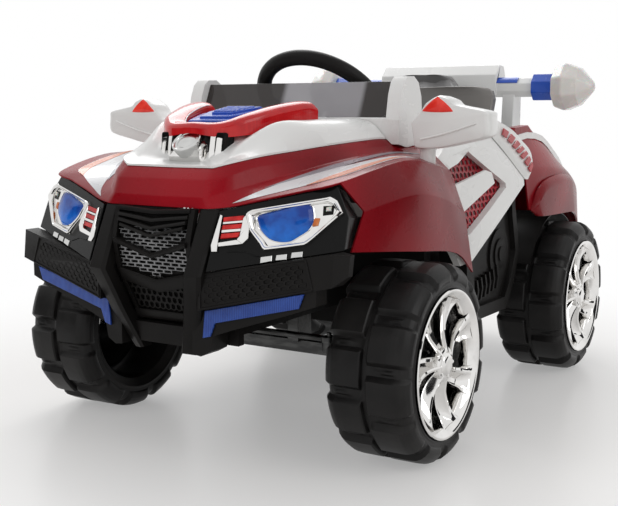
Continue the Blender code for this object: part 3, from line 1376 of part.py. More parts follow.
# Spoiler
WING_AT = aft([(0, 0.0895, 0.422)])[0]
WING_RADIUS = 0.0215
WING_STEPS = 8
BAND_AT = (0.2165, 0.2590)
BAND_RADIUS = 0.0295
POD = [
    (0.2595, 0.0), (0.2595, 0.030), (0.263, 0.044), (0.286, 0.053), (0.315, 0.041), (0.343, 0.010),
    (0.345, 0.0),
]
PILLAR = aft([(0, 0.0645, 0.275), (0, 0.1195, 0.260), (0, 0.1195, 0.415), (0, 0.0765, 0.425)])
WING_MIDDLE = aft(
    [
        (0, 0.0645, 0.406), (0, 0.1165, 0.406), (0, 0.1265, 0.440), (0, 0.1125, 0.469), (0, 0.0895, 0.471),
        (0, 0.0685, 0.450),
    ]
)


def turned_at(profile, point, steps):
    mesh = turned(profile, steps, math.pi / steps)
    mesh.transform(Matrix.Translation(Vector((0, point.y, point.z))))
    return mesh


def spoiler():
    """The white rear wing: a faceted tube on two pillars, with a taller middle behind the headrest."""
    reach = BAND_AT[0] - GAP
    tube = turned_at(
        [(-reach, 0), (-reach, WING_RADIUS), (reach, WING_RADIUS), (reach, 0)], WING_AT, WING_STEPS
    )
    middle = prism([p + Vector((-0.138, 0, 0)) for p in WING_MIDDLE], (0.276, 0, 0))
    parts = [tube, middle]
    for side in (-1, 1):
        foot = [Vector((side * 0.176, p.y, p.z)) for p in PILLAR]
        low = [Vector((side * 0.150, p.y, p.z)) for p in PILLAR]
        parts.append(loft([foot, low]))
    place("spoiler", fused(parts, [deck_block()]), "white")


def deck_block():
    """What a foot on the rear deck is cut with: the deck plate's upper face raised by a gap."""
    a, b = DECK_BACK
    wide = 0.3
    ring = [
        (-wide, a.y - 0.1, a.z + (a.z - b.z) * 0.1 / (b.y - a.y)),
        (wide, a.y - 0.1, a.z + (a.z - b.z) * 0.1 / (b.y - a.y)), (wide, b.y, b.z - 0.002),
        (-wide, b.y, b.z - 0.002),
    ]
    return prism([Vector(p) + Vector((0, 0, GAP * 3)) for p in ring], (0, 0, -0.1))


def pods():
    """A blue band and a faceted white pod at each end of the wing."""
    low, high = BAND_AT
    band = turned_at([(low, 0), (low, BAND_RADIUS), (high, BAND_RADIUS), (high, 0)], WING_AT, WING_STEPS)
    both_sides("pod_band", band, "blue")
    pod = turned_at(POD, WING_AT, WING_STEPS)
    both_sides("pod", pod, "frost")


# Seat and battery
SEAT_BASE = aft([
    (0, -0.3155, 0.0103), (0, -0.3155, 0.118), (0, -0.2955, 0.122), (0, -0.2455, 0.112),
    (0, -0.1655, 0.108), (0, -0.1305, 0.125),
    (0, -0.1005, 0.135), (0, -0.0355, 0.135), (0, -0.0355, 0.1006), (0, -0.167, 0.1006),
    (0, -0.167, 0.0103),
])
SEAT_HALF = 0.165
BACK_HALF_WIDTHS = [0.160, 0.168, 0.182, 0.188, 0.180, 0.150, 0.131, 0.122, 0.108]
BACK_SIDE = aft(
    [
        (0, -0.1355, 0.105), (0, -0.1105, 0.230), (0, -0.0835, 0.320), (0, -0.0675, 0.395),
        (0, -0.0635, 0.413), (0, -0.062, 0.419), (0, -0.0615, 0.422), (0, -0.0585, 0.440),
        (0, -0.0565, 0.446),
    ]
)
BACK_THICKNESS = 0.030
BATTERY_LOW = aft([(-0.075, -0.2855, 0.0103)])[0]
BATTERY_HIGH = aft([(0.075, -0.1855, 0.098)])[0]


def seat():
    """The dark grey moulded seat: a hollow base, a scooped back with shoulders, and a headrest."""
    base = prism([p + Vector((-SEAT_HALF, 0, 0)) for p in SEAT_BASE], (2 * SEAT_HALF, 0, 0))
    grid = []
    for half, p in zip(BACK_HALF_WIDTHS, BACK_SIDE):
        row = []
        for share, forward in (
            (-1.0, -0.022), (-0.93, -0.030), (-0.72, -0.026), (-0.45, 0.0), (0.0, 0.006), (0.45, 0.0),
            (0.72, -0.026), (0.93, -0.030), (1.0, -0.022),
        ):
            fade = 1.0 if p.z < AXLE_Z + 0.41 else 0.25
            row.append(Vector((half * share, p.y + forward * fade, p.z)))
        grid.append(row)
    back = slab(grid, (0, -BACK_THICKNESS, 0))
    bay = box(BATTERY_LOW - Vector((0.002, 0.002, 0.02)), BATTERY_HIGH + Vector((0.002, 0.002, 0.002)))
    place("seat", fused([base, back], [bay]), "grey")
    place("battery", box(BATTERY_LOW, BATTERY_HIGH), "black")


# Pedal
PEDAL_X = -0.060
PEDAL_PIVOT = aft([(0, -0.4475, 0.0165)])[0]


def pedal():
    """The foot pedal: a ribbed plate on a cross pin near the floor."""
    y, z = PEDAL_PIVOT.y, PEDAL_PIVOT.z
    plate = prism(
        [
            (PEDAL_X - 0.028, y - 0.004, z), (PEDAL_X - 0.028, y + 0.003, z - 0.002),
            (PEDAL_X - 0.028, y - 0.010, z + 0.075), (PEDAL_X - 0.028, y - 0.017, z + 0.073),
        ],
        (0.056, 0, 0),
    )
    barrel = rod((PEDAL_X - 0.028, y, z), (PEDAL_X + 0.028, y, z), 0.006, 16)
    ribs = []
    for step in range(4):
        share = 0.25 + step * 0.2
        ribs.append(
            box(
                (PEDAL_X - 0.024, y - 0.004 - 0.013 * share, z + 0.073 * share),
                (PEDAL_X + 0.024, y + 0.0055 - 0.013 * share, z + 0.073 * share + 0.004),
            )
        )
    place("pedal", fused([plate, barrel, *ribs]), "black", pivot=(PEDAL_X, y, z))


# Mirrors
MIRROR_OUTLINE = fore([
    (0.2485, 0.0905, 0.358), (0.2544, 0.0905, 0.314), (0.275, 0.0905, 0.310), (0.297, 0.0905, 0.310),
    (0.379, 0.0905, 0.335), (0.379, 0.0905, 0.372),
    (0.330, 0.0905, 0.381), (0.310, 0.0905, 0.387), (0.2923, 0.0905, 0.394), (0.275, 0.0905, 0.386),
])
MIRROR_DEPTH = 0.052
MIRROR_FOOT_X = 0.268


def mirrors():
    """A door mirror: a faceted white housing that plugs on to the wing by its foot."""
    middle = sum(MIRROR_OUTLINE, Vector()) / len(MIRROR_OUTLINE)
    rings = []
    for share, shrink in ((0.0, 0.90), (0.16, 1.0), (0.55, 0.98), (1.0, 0.84)):
        rings.append(
            [middle + (p - middle) * shrink + Vector((0, share * MIRROR_DEPTH, 0)) for p in MIRROR_OUTLINE]
        )
    shell = loft(rings)
    foot_at = Vector((MIRROR_FOOT_X, middle.y + 0.024, AXLE_Z))
    foot = rod(foot_at + Vector((0, 0, 0.330)), foot_at + Vector((0, 0, 0.270)), 0.011, 14)
    both_sides("mirror", fused([shell, foot], [wing_block()]), "white")


def main():
    clear_scene()
    chassis()
    front_body()
    hood()
    scoop()
    blue_panel()
    emblem()
    cowl()
    windscreen()
    dash_panel()
    power_button()
    gear_lever()
    headlights()
    front_bumper()
    bumper_strips()
    grille()
    side_frames()
    side_meshes()
    rear_body()
    rear_deck()
    rear_bumper()
    tail_lights()
    spoiler()
    pods()
    seat()
    rear_drive()
    front_axle()
    knuckles()
    tie_rod()
    steering()
    hand_wheel()
    wheels()
    pedal()
    mirrors()


main()
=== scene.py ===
"""The looks of a child's electric ride-on car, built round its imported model.

The file is laid out as a Blender add-on and is run as a script. Lengths are in metres. The car stands
on Z = 0 with its nose along -Y, and +X is its left. Each group of pieces has one operator, and every
new shape is a surface worked out on a grid of two parameters.
"""

import json
import math

import bmesh
import bpy
import numpy as np
from bpy.props import FloatProperty, FloatVectorProperty, PointerProperty
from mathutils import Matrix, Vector

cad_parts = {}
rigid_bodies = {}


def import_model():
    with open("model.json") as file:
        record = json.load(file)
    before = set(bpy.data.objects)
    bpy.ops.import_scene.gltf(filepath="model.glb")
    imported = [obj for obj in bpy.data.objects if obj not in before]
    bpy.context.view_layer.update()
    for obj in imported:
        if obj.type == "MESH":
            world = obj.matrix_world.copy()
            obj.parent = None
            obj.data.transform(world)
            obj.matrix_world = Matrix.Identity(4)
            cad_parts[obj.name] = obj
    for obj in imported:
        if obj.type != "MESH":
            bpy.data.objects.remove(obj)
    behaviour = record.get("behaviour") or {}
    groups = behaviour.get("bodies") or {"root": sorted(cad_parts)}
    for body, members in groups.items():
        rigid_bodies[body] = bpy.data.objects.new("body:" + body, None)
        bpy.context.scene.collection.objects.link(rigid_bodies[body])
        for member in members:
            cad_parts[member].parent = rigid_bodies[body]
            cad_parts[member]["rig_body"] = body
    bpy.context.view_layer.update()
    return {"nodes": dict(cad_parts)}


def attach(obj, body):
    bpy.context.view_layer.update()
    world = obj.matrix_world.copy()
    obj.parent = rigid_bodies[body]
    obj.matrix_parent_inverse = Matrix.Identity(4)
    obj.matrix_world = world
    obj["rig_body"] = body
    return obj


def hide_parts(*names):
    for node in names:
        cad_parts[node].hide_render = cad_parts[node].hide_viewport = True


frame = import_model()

bl_info = {
    "name": "Ride-on car looks",
    "version": (1, 0, 0),
    "blender": (4, 5, 0),
    "location": "View3D > Sidebar > Ride-on",
    "description": "Panels, tyres, wheels, lamps and trim of a child's electric car",
    "category": "Object",
}

# Axles and wheels
FRONT_AXLE = np.array((0.0, -0.3355, 0.150))
REAR_AXLE = np.array((0.0, 0.3355, 0.150))
WHEEL_X = 0.2935
TYRE_RADIUS = 0.150
TYRE_HALF = 0.0675
LUGS = 12
LUG_SHARE = 0.64
LUG_FLANK = 0.09
BLADES = 7
BLADE_SWEEP = math.radians(24)
HUB_RADIUS = 0.026
RIM_SEAT = 0.0994
BOLTS = 5
BOLT_CIRCLE = 0.0205

# Walls and clearances
SKIN = 0.003
GAP = 0.0003

# Sides, directions, and steps on each span of a feature line
SIDES = ("left", "right")
ACROSS, AHEAD, UP = np.array((1.0, 0, 0)), np.array((0, -1.0, 0)), np.array((0, 0, 1.0))
PER_SPAN = 8


def fore(*points):
    """Points given from the middle of the front axle."""
    return FRONT_AXLE + np.array(points, float)


def aft(*points):
    """Points given from the middle of the rear axle."""
    return REAR_AXLE + np.array(points, float)


# Shapes


def catmull(a, b, c, d, t):
    """The cubic from b at t = 0 to c at t = 1, whose slopes there are half of c - a and half of d - b."""
    return 0.5 * (2 * b + (c - a) * t + (2 * a - 5 * b + 4 * c - d) * t**2 + (3 * b - a - 3 * c + d) * t**3)


def curve(points, count):
    """A Catmull-Rom curve through the points."""
    p = np.asarray(points, float)
    ends = np.concatenate([2 * p[:1] - p[1:2], p, 2 * p[-1:] - p[-2:-1]])
    place = np.linspace(0, len(p) - 1, count)
    span = np.minimum(place.astype(int), len(p) - 2)
    return catmull(*(ends[span + k] for k in range(4)), (place - span)[:, None])


def sampled(line):
    """A feature line's curve, with the same number of steps on each span."""
    return curve(line, (len(line) - 1) * PER_SPAN + 1)


def smoothstep(x):
    """Rises from 0 to 1 with x, level at both ends: x squared times 3 - 2x."""
    x = np.clip(x, 0, 1)
    return x * x * (3 - 2 * x)


def blend(a, b, share):
    """From a to b by a share."""
    return a * (1 - share) + b * share


def quadratic(a, b, c, s):
    """The arc from a to c with the control point b."""
    return (1 - s) ** 2 * a + 2 * s * (1 - s) * b + s**2 * c


def scaled(points, scale):
    """The points moved away from their mean or towards it, by one scale or one for each."""
    middle = points.mean(0)
    return middle + (points - middle) * scale


def inset(points, width):
    """The points moved towards their mean by a width."""
    return scaled(points, 1 - width / np.linalg.norm(points - points.mean(0), axis=1, keepdims=True))


def symmetric(*points):
    """A closed outline from its corners on the left, in order, and their mirror images."""
    p = np.array(points, float)
    other = p * (-1, 1, 1)
    return np.concatenate([other[:1], p, other[:0:-1]])


def rounded(lines, setback, steps):
    """Rows across feature lines, where each inner line becomes a quadratic arc.

    The arc leaves the flat on each side at the setback, and has the line itself as its middle control point.
    """
    lines = np.asarray(lines, float)
    rows = [lines[0]]
    for before, line, after in zip(lines, lines[1:], lines[2:]):
        ends = []
        for other in (before, after):
            step = other - line
            reach = np.linalg.norm(step, axis=-1, keepdims=True)
            ends.append(line + step * np.minimum(0.42, setback / np.maximum(reach, 1e-9)))
        for s in np.linspace(0, 1, steps + 1):
            rows.append(quadratic(ends[0], line, ends[1], s))
    rows.append(lines[-1])
    return np.array(rows)


def grid_faces(rows, cols, loop_rows=False, loop_cols=False):
    """The four-sided faces of a grid of points, which may close on itself either way."""
    r = np.arange(rows if loop_rows else rows - 1)[:, None]
    c = np.arange(cols if loop_cols else cols - 1)
    r2, c2 = (r + 1) % rows, (c + 1) % cols
    return np.stack([r * cols + c, r * cols + c2, r2 * cols + c2, r2 * cols + c], -1).reshape(-1, 4)


def sheet_of(points, **loops):
    """A grid of points as one open or looped sheet."""
    points = np.asarray(points, float)
    return points.reshape(-1, 3), grid_faces(*points.shape[:2], **loops)


def capped(rings):
    """Closed rings in a row as one shape, with a fan to the middle at each end."""
    rings = np.asarray(rings, float)
    ends = [np.broadcast_to(rings[k].mean(0), rings[:1].shape) for k in (0, -1)]
    return sheet_of(np.concatenate([ends[0], rings, ends[1]]), loop_cols=True)


def joined(*parts):
    """Several shapes as one."""
    verts, faces, start = [], [], 0
    for points, quads in parts:
        verts.append(points)
        faces.append(quads + start)
        start += len(points)
    return np.concatenate(verts), np.concatenate(faces)


def mirrored(part):
    """The shape for the other side: X changes sign, and the faces run the other way round."""
    return part[0] * (-1, 1, 1), part[1][:, ::-1]


def for_side(part, side):
    """The left side's shape, or its mirror image."""
    return part if side == "left" else mirrored(part)


def moved(part, by):
    """The shape with its points moved."""
    return part[0] + by, part[1]


def welded(part):
    """The shape with points that agree to a micrometre made one."""
    points, back = np.unique(np.round(part[0], 6), axis=0, return_inverse=True)
    return points, back.reshape(-1)[part[1]]


def point_normals(part):
    """Unit normals at the points: the sum of the cross products of the diagonals of the faces round each."""
    points, faces = part
    a, b, c, d = (points[faces[:, k]] for k in range(4))
    across = np.cross(c - a, d - b)
    total = np.zeros_like(points)
    for k in range(4):
        np.add.at(total, faces[:, k], across)
    return total / np.maximum(np.linalg.norm(total, axis=1, keepdims=True), 1e-12)


def thickened(part, depth, along=None):
    """A sheet given a wall: its copy lies depth behind it, and a strip of faces closes each free edge."""
    points, faces = part
    normals = point_normals(part) if along is None else np.broadcast_to(along, points.shape)
    count = len(points)
    edges = np.concatenate([np.stack([faces[:, k], faces[:, (k + 1) % 4]], 1) for k in range(4)])
    edges = edges[edges[:, 0] != edges[:, 1]]
    there, back = edges[:, 0] * count + edges[:, 1], edges[:, 1] * count + edges[:, 0]
    free = edges[~np.isin(there, back)]
    walls = np.stack([free[:, 1], free[:, 0], free[:, 0] + count, free[:, 1] + count], 1)
    verts = np.concatenate([points, points - normals * depth])
    return verts, np.concatenate([faces, faces[:, ::-1] + count, walls])


def turned(profile, steps, closed=False):
    """A profile of (along, radius) points spun about X: a point is at along, radius sin t, -radius cos t."""
    profile = np.asarray(profile, float)
    t = np.linspace(0, 2 * np.pi, steps, endpoint=False)
    along = np.broadcast_to(profile[:, :1], (len(profile), steps))
    points = np.stack([along, np.outer(profile[:, 1], np.sin(t)), -np.outer(profile[:, 1], np.cos(t))], -1)
    return sheet_of(points, loop_rows=closed, loop_cols=True)


def tube(path, radius, steps):
    """A round bar: at each point of the path a circle stands square to the path's direction."""
    path = np.asarray(path, float)
    ahead = np.gradient(path, axis=0)
    ahead /= np.linalg.norm(ahead, axis=1, keepdims=True)
    up = UP if abs(ahead[:, 2]).max() < 0.9 else ACROSS
    side = np.cross(ahead, up)
    side /= np.linalg.norm(side, axis=1, keepdims=True)
    top = np.cross(side, ahead)
    t = np.linspace(0, 2 * np.pi, steps, endpoint=False)
    radius = np.broadcast_to(radius, len(path))[:, None, None]
    circle = side[:, None] * np.cos(t)[:, None] + top[:, None] * np.sin(t)[:, None]
    return capped(path[:, None] + radius * circle)


def lattice(rows, cols, pitch, rib, flat, inside):
    """A flat net of six-sided cells in staggered rows, as faces between each cell and its smaller copy.

    A cell's corners are (0, .5+k), (.5, .5-k) and their mirror images, in steps of the pitch. With k a
    sixth the cells are hexagons, and with k nought they are bricks.
    """
    k = (1 - flat) / 6
    corner = np.array([
        (0, 0.5 + k), (-0.5, 0.5 - k), (-0.5, k - 0.5), (0, -0.5 - k), (0.5, k - 0.5), (0.5, 0.5 - k),
    ]) * pitch
    inner = corner * (1 - rib / np.array((pitch[0], pitch[1] * (1 + 2 * k))))
    r, c = np.meshgrid(np.arange(rows), np.arange(cols), indexing="ij")
    across, along = (c - cols / 2 + 0.5 * (r % 2)) * pitch[0], (r - rows / 2) * pitch[1]
    middles = np.stack([across, along], -1).reshape(-1, 2)
    middles = middles[inside(middles)][:, None]
    flat_points = np.concatenate([middles + corner, middles + inner], 1).reshape(-1, 2)
    k6 = np.arange(6)
    ring = np.stack([k6, (k6 + 1) % 6, (k6 + 1) % 6 + 6, k6 + 6], 1)
    faces = (np.arange(len(middles))[:, None, None] * 12 + ring).reshape(-1, 4)
    return flat_points, faces


def within(outline):
    """A test of which flat points lie in an outline: a ray from each crosses its sides an odd count."""
    a = np.asarray(outline, float)
    b = np.roll(a, -1, 0)

    def test(points):
        x, y = points[:, 0, None], points[:, 1, None]
        spans = (a[:, 1] > y) != (b[:, 1] > y)
        rise = np.where(b[:, 1] == a[:, 1], 1, b[:, 1] - a[:, 1])
        return (spans & (x < a[:, 0] + (b[:, 0] - a[:, 0]) * (y - a[:, 1]) / rise)).sum(1) % 2 == 1

    return test


# Materials


def maths(operation, swapped=False):
    """An operator of Wire: it adds a Math node on the two values, in order or swapped."""
    return lambda self, other: self.op(operation, *((other, self) if swapped else (self, other)))


class Wire:
    """A number on a node's socket. Arithmetic on it adds Math nodes."""

    def __init__(self, tree, socket):
        self.tree, self.socket = tree, socket

    def op(self, operation, *values):
        made = self.tree.node("ShaderNodeMath", {"operation": operation}, *values)
        return Wire(self.tree, made.outputs[0])

    __add__ = __radd__ = maths("ADD")
    __mul__ = __rmul__ = maths("MULTIPLY")
    __sub__, __rsub__ = maths("SUBTRACT"), maths("SUBTRACT", swapped=True)
    __gt__ = maths("GREATER_THAN")

    def between(self, low, high):
        """Rises smoothly from 0 at low to 1 at high."""
        settings = {"interpolation_type": "SMOOTHSTEP"}
        return Wire(self.tree, self.tree.node("ShaderNodeMapRange", settings, self, low, high).outputs[0])


class Tree:
    """A node tree whose nodes are made and fed in one call."""

    def __init__(self, tree):
        self.tree = tree

    def node(self, kind, settings, *values, **named):
        """A new node: its settings first, then its sockets in order, and those named with underscores."""
        made = self.tree.nodes.new(kind)
        for key, value in settings.items():
            setattr(made, key, value)
        for socket, value in zip(made.inputs, values):
            self.feed(socket, value)
        for key, value in named.items():
            self.feed(made.inputs[key.replace("_", " ")], value)
        return made

    def feed(self, socket, value):
        """A value or a link into a socket."""
        if isinstance(value, Wire):
            value = value.socket
        if isinstance(value, bpy.types.NodeSocket):
            self.tree.links.new(value, socket)
        else:
            socket.default_value = value

    def seen(self):
        """1 on rays that show in the picture: straight, by reflection or through a clear piece."""
        path = self.node("ShaderNodeLightPath", {})
        camera, glossy, clear = (
            Wire(self, path.outputs[f"Is {kind} Ray"]) for kind in ("Camera", "Glossy", "Transmission")
        )
        return camera.op("MAXIMUM", camera.op("MAXIMUM", camera, glossy), clear)


class Look(Tree):
    """One material: the nodes that feed its surface shader."""

    def __init__(self, name, **fixed):
        self.material = bpy.data.materials.new(name)
        self.material.use_nodes = True
        super().__init__(self.material.node_tree)
        self.shader = self.tree.nodes["Principled BSDF"]
        self.set(**fixed)
        self.place = self.node("ShaderNodeTexCoord", {}).outputs["Object"]

    def set(self, **sockets):
        """Feeds the surface shader's sockets, named with underscores."""
        for key, value in sockets.items():
            self.feed(self.shader.inputs[key.replace("_", " ")], value)

    def axis(self, index):
        """A coordinate of the object: 0 across, 1 along or 2 up."""
        return Wire(self, self.node("ShaderNodeSeparateXYZ", {}, self.place).outputs[index])

    def noise(self, scale, detail=3.0, stretch=(1, 1, 1)):
        """Cloudy noise in the object's own coordinates."""
        spread = self.node("ShaderNodeMapping", {}, self.place, Scale=stretch)
        made = self.node("ShaderNodeTexNoise", {}, Vector=spread.outputs[0], Scale=scale, Detail=detail)
        return Wire(self, made.outputs[0])

    def mix(self, share, first, second):
        """A colour between two others."""
        made = self.node("ShaderNodeMix", {"data_type": "RGBA"})
        self.feed(made.inputs[0], share)
        for socket, value in zip((made.inputs[6], made.inputs[7]), (first, second)):
            self.feed(socket, (*value, 1) if isinstance(value, tuple) and len(value) == 3 else value)
        return made.outputs[2]

    def bump(self, height, strength, distance=0.001):
        """Relief from a height."""
        self.set(Normal=self.node("ShaderNodeBump", {}, strength, distance, Height=height).outputs[0])


def darker(colour, share):
    return tuple(c * share for c in colour)


def moulded(name, colour, rough, deeper=0.75, coat=0.0, peel=0.05, grain=900.0, **fixed):
    """Moulded plastic: slow colour drift, patchy gloss, fine scuffs, and a faint grain in relief."""
    look = Look(name, Coat_Weight=coat, Coat_Roughness=0.06, **{"Specular_IOR_Level": 0.30, **fixed})
    drift = look.noise(7.0, 2.0).between(0.30, 0.70)
    look.set(Base_Color=look.mix(drift, darker(colour, deeper), colour))
    scuff = look.noise(60.0, 4.0, (1, 0.25, 1)).between(0.55, 0.80)
    look.set(Roughness=rough + 0.05 * drift + 0.10 * scuff)
    look.bump(look.noise(grain, 2.0) + 0.4 * scuff, peel, 0.0006)
    return look


def lacquer(name, colour, dark):
    """Deep metallic red: a dark ground under a bright one by slow drift, fine flakes, and a clear coat."""
    look = Look(name, Coat_Weight=0.10, Coat_Roughness=0.05, Coat_IOR=1.4, Specular_IOR_Level=0.12)
    drift = look.noise(4.0, 2.0).between(0.30, 0.72)
    flakes = look.node("ShaderNodeTexVoronoi", {}, Vector=look.place, Scale=2600.0)
    spark = Wire(look, look.node("ShaderNodeSeparateXYZ", {}, flakes.outputs["Color"]).outputs[0])
    body = look.mix(drift, dark, colour)
    look.set(
        Base_Color=look.mix((spark > 0.93) * 0.30, body, tuple(min(1.0, c * 1.6 + 0.006) for c in colour))
    )
    look.set(Roughness=0.24 + 0.08 * look.noise(35.0, 3.0))
    look.bump(look.noise(420.0, 2.0), 0.05, 0.0005)
    return look


def plated(name, tint, rough):
    """Vacuum-plated chrome: mirror metal with slow ripples from the moulding, and faint haze."""
    look = Look(name, Metallic=1.0)
    haze = look.noise(25.0, 3.0).between(0.4, 0.8)
    look.set(Base_Color=look.mix(haze, tint, darker(tint, 0.82)), Roughness=rough + 0.07 * haze)
    look.bump(look.noise(45.0, 1.0), 0.12, 0.0012)
    return look


def lamp_plastic(name, colour, bright, painted_glow, rib=0.0, rough=0.10, low=None):
    """Clear dyed plastic over a reflector: brighter where cloudy, with painted highlights on its ribs,
    painted light below a height, and a painted glow.
    """
    # Emission_Strength is a painted glow: the plastic is no lit lamp.
    look = Look(
        name, Coat_Weight=0.20, Coat_Roughness=0.03, Specular_IOR_Level=0.18, Emission_Strength=painted_glow
    )
    cloud = look.noise(55.0, 2.0).between(0.35, 0.65)
    if low:
        # Painted light: below the height range low, the colour turns to the bright one.
        cloud = cloud * 0.35 + (1 - look.axis(2).between(*low)) * 0.65
    if rib:
        wave = look.axis(0) * rib
        wave = wave.op("SINE", wave)
        look.bump(wave, 0.35, 0.0005)
        # Painted highlight: the rib crests are coloured towards the bright colour, besides their real relief.
        cloud = 0.3 * cloud + wave.between(-0.2, 0.9) * 0.7
    shade = look.mix(cloud, colour, bright)
    look.set(Base_Color=shade, Emission_Color=shade, Roughness=rough + 0.06 * cloud)
    return look


def gridded(name, colour, bright):
    """Clear red plastic over a fine square grid, whose cells show through as brighter spots, with a faint
    painted glow.
    """
    # Emission_Strength 0.04 is a painted glow: the horseshoe is no lamp.
    look = Look(
        name, Coat_Weight=0.25, Coat_Roughness=0.03, Specular_IOR_Level=0.25, Emission_Strength=0.04
    )
    rows = [look.axis(i) * 2400.0 for i in (0, 1)]
    wave = rows[0].op("SINE", rows[0]) * rows[1].op("SINE", rows[1])
    cloud = look.noise(30.0, 2.0).between(0.30, 0.70)
    shade = look.mix(cloud * 0.3 + wave.between(0.1, 0.8) * 0.25, colour, bright)
    look.set(Base_Color=shade, Emission_Color=shade, Roughness=0.10 + 0.05 * cloud)
    look.bump(wave, 0.06, 0.0003)
    return look


def tyre_rubber(name):
    """Satin black blow-moulded plastic: broad sheen, dust low in the tread, and fine moulding grain."""
    look = Look(name, Specular_IOR_Level=0.19)
    cloud = look.noise(14.0, 4.0).between(0.35, 0.75)
    ground = look.mix(cloud, (0.008, 0.0075, 0.0075), (0.018, 0.0170, 0.0165))
    dust = look.noise(38.0, 5.0).between(0.60, 0.85) * 0.30
    look.set(Base_Color=look.mix(dust, ground, (0.040, 0.037, 0.034)), Roughness=0.36 + 0.14 * cloud)
    look.bump(look.noise(300.0, 4.0) + 0.6 * look.noise(30.0, 2.0), 0.16, 0.0010)
    return look


def smoked(name):
    """Smoked sheet: dark, nearly clear across, and a paler band of painted light off to one side where the
    lit cabin shows through.
    """
    look = Look(name, Coat_Weight=0.2, Coat_Roughness=0.02, Specular_IOR_Level=0.35)
    # Painted light: the band is paler colour, set to one side, for the lit cabin seen through the sheet.
    band = look.axis(0).between(-0.030, -0.015) - look.axis(0).between(0.128, 0.140)
    cloud = look.noise(20.0, 3.0)
    look.set(
        Base_Color=look.mix(band * 0.9, (0.030, 0.024, 0.022), (0.40, 0.39, 0.41)),
        Roughness=0.06 + 0.10 * cloud,
    )
    look.set(Alpha=0.90 - 0.12 * band)
    return look


def zinc(name):
    """Zinc-plated steel, darkened far below bright zinc as painted shade for parts under the car: metal drawn
    lengthways, with dull spangles.
    """
    look = Look(name, Metallic=1.0)
    spangle = look.noise(160.0, 3.0, (0.2, 1, 1)).between(0.35, 0.7)
    # Both colours are painted shade: much darker than plated steel, for the running gear in the car's shadow.
    look.set(
        Base_Color=look.mix(spangle, (0.045, 0.045, 0.045), (0.11, 0.11, 0.108)),
        Roughness=0.30 + 0.18 * spangle,
    )
    look.bump(look.noise(500.0, 2.0, (0.1, 1, 1)), 0.08, 0.0004)
    return look


def milky(name, colour):
    """Translucent milky plastic: light spreads inside it, and thin parts are greyer."""
    look = Look(name, Coat_Weight=0.4, Coat_Roughness=0.05, Subsurface_Weight=0.35, Subsurface_Scale=0.01)
    cloud = look.noise(28.0, 3.0).between(0.3, 0.7)
    look.set(Base_Color=look.mix(cloud, darker(colour, 0.92), colour), Roughness=0.20 + 0.10 * cloud)
    look.bump(look.noise(200.0, 2.0), 0.05, 0.0006)
    return look


LOOKS = {}


def look_of(name):
    """The material by its short name, made at its first use from the settings of the sidebar."""
    if not LOOKS:
        paint = bpy.context.scene.ride_on_colours
        red, white, black, blue = (tuple(c) for c in (paint.red, paint.white, paint.black, paint.blue))
        LOOKS.update({
            "red": lacquer("red_lacquer", red, darker(red, 0.45)),
            "red_plain": moulded("red_plastic", (0.30, 0.012, 0.020), 0.34, coat=0.1),
            "decal_red": moulded("strip_red", (0.52, 0.085, 0.095), 0.30, coat=0.1),
            # The lamp plastics and the scoop plastic have a faint painted glow, though none of them is a lit
            # lamp.
            "clear_red": lamp_plastic(
                "clear_red_plastic", (0.42, 0.005, 0.007), (0.66, 0.022, 0.020), 0.05
            ),
            "mirror_red": lamp_plastic(
                "mirror_lamp_plastic", (0.72, 0.030, 0.020), (0.85, 0.060, 0.040), 0.10
            ),
            "scoop_red": gridded("scoop_plastic", (0.44, 0.006, 0.010), (0.74, 0.035, 0.032)),
            "amber": lamp_plastic("amber_plastic", (0.55, 0.14, 0.03), (0.80, 0.30, 0.10), 0.05),
            "white": moulded("white_plastic", white, 0.26, 0.965, coat=0.20, peel=0.04),
            "black": moulded(
                "black_plastic", black, 0.40, 0.6, peel=0.16, grain=1300.0, Specular_IOR_Level=0.11
            ),
            "black_smooth": moulded(
                "black_gloss_plastic", (0.006, 0.006, 0.006), 0.20, 0.7, coat=0.03, Specular_IOR_Level=0.12
            ),
            "tyre": tyre_rubber("tyre_plastic"),
            "chrome": plated("chrome_plating", (0.78, 0.77, 0.755), 0.05),
            # Lens: painted light makes it paler below the heights given as low.
            "lens": lamp_plastic(
                "lens_plastic", (0.008, 0.040, 0.26), (0.014, 0.165, 0.66), 0.08, low=(0.348, 0.380)
            ),
            "blue": lamp_plastic("blue_clear_plastic", blue, (0.03, 0.20, 0.85), 0.06),
            "blue_smooth": moulded("blue_plastic", (0.020, 0.090, 0.52), 0.22, 0.8, coat=0.3),
            # Ribbed strip: painted highlights on its rib crests.
            "blue_ribbed": lamp_plastic(
                "blue_ribbed_plastic", (0.014, 0.040, 0.22), (0.035, 0.095, 0.40), 0.03, 2200.0, 0.3
            ),
            "smoke": smoked("smoked_sheet"),
            "grey": moulded("grey_plastic", (0.115, 0.112, 0.112), 0.42, 0.85, peel=0.18, grain=1100.0),
            "seat_warm": moulded(
                "seat_plastic", (0.200, 0.190, 0.180), 0.46, 0.88, peel=0.18, grain=1100.0
            ),
            "silver": plated("silver_plating", (0.62, 0.62, 0.61), 0.16),
            "steel": zinc("zinc_steel_painted_shade"),
            "frost": milky("milky_plastic", (0.72, 0.70, 0.67)),
            "decal_white": moulded("decal_white", (0.72, 0.73, 0.75), 0.25, 0.80, coat=0.3),
            "decal_grey": moulded("decal_grey", (0.30, 0.31, 0.35), 0.25, 0.70, coat=0.3),
            "decal_warm": moulded("decal_warm", (0.78, 0.26, 0.14), 0.25, 0.85, coat=0.3),
            "net_red": moulded("net_red_plastic", (0.42, 0.020, 0.034), 0.34, coat=0.1),
            "mesh_silver": moulded("mesh_silver", (0.26, 0.26, 0.265), 0.34, 0.6, Metallic=0.5),
        })
    return LOOKS[name].material


# Pieces


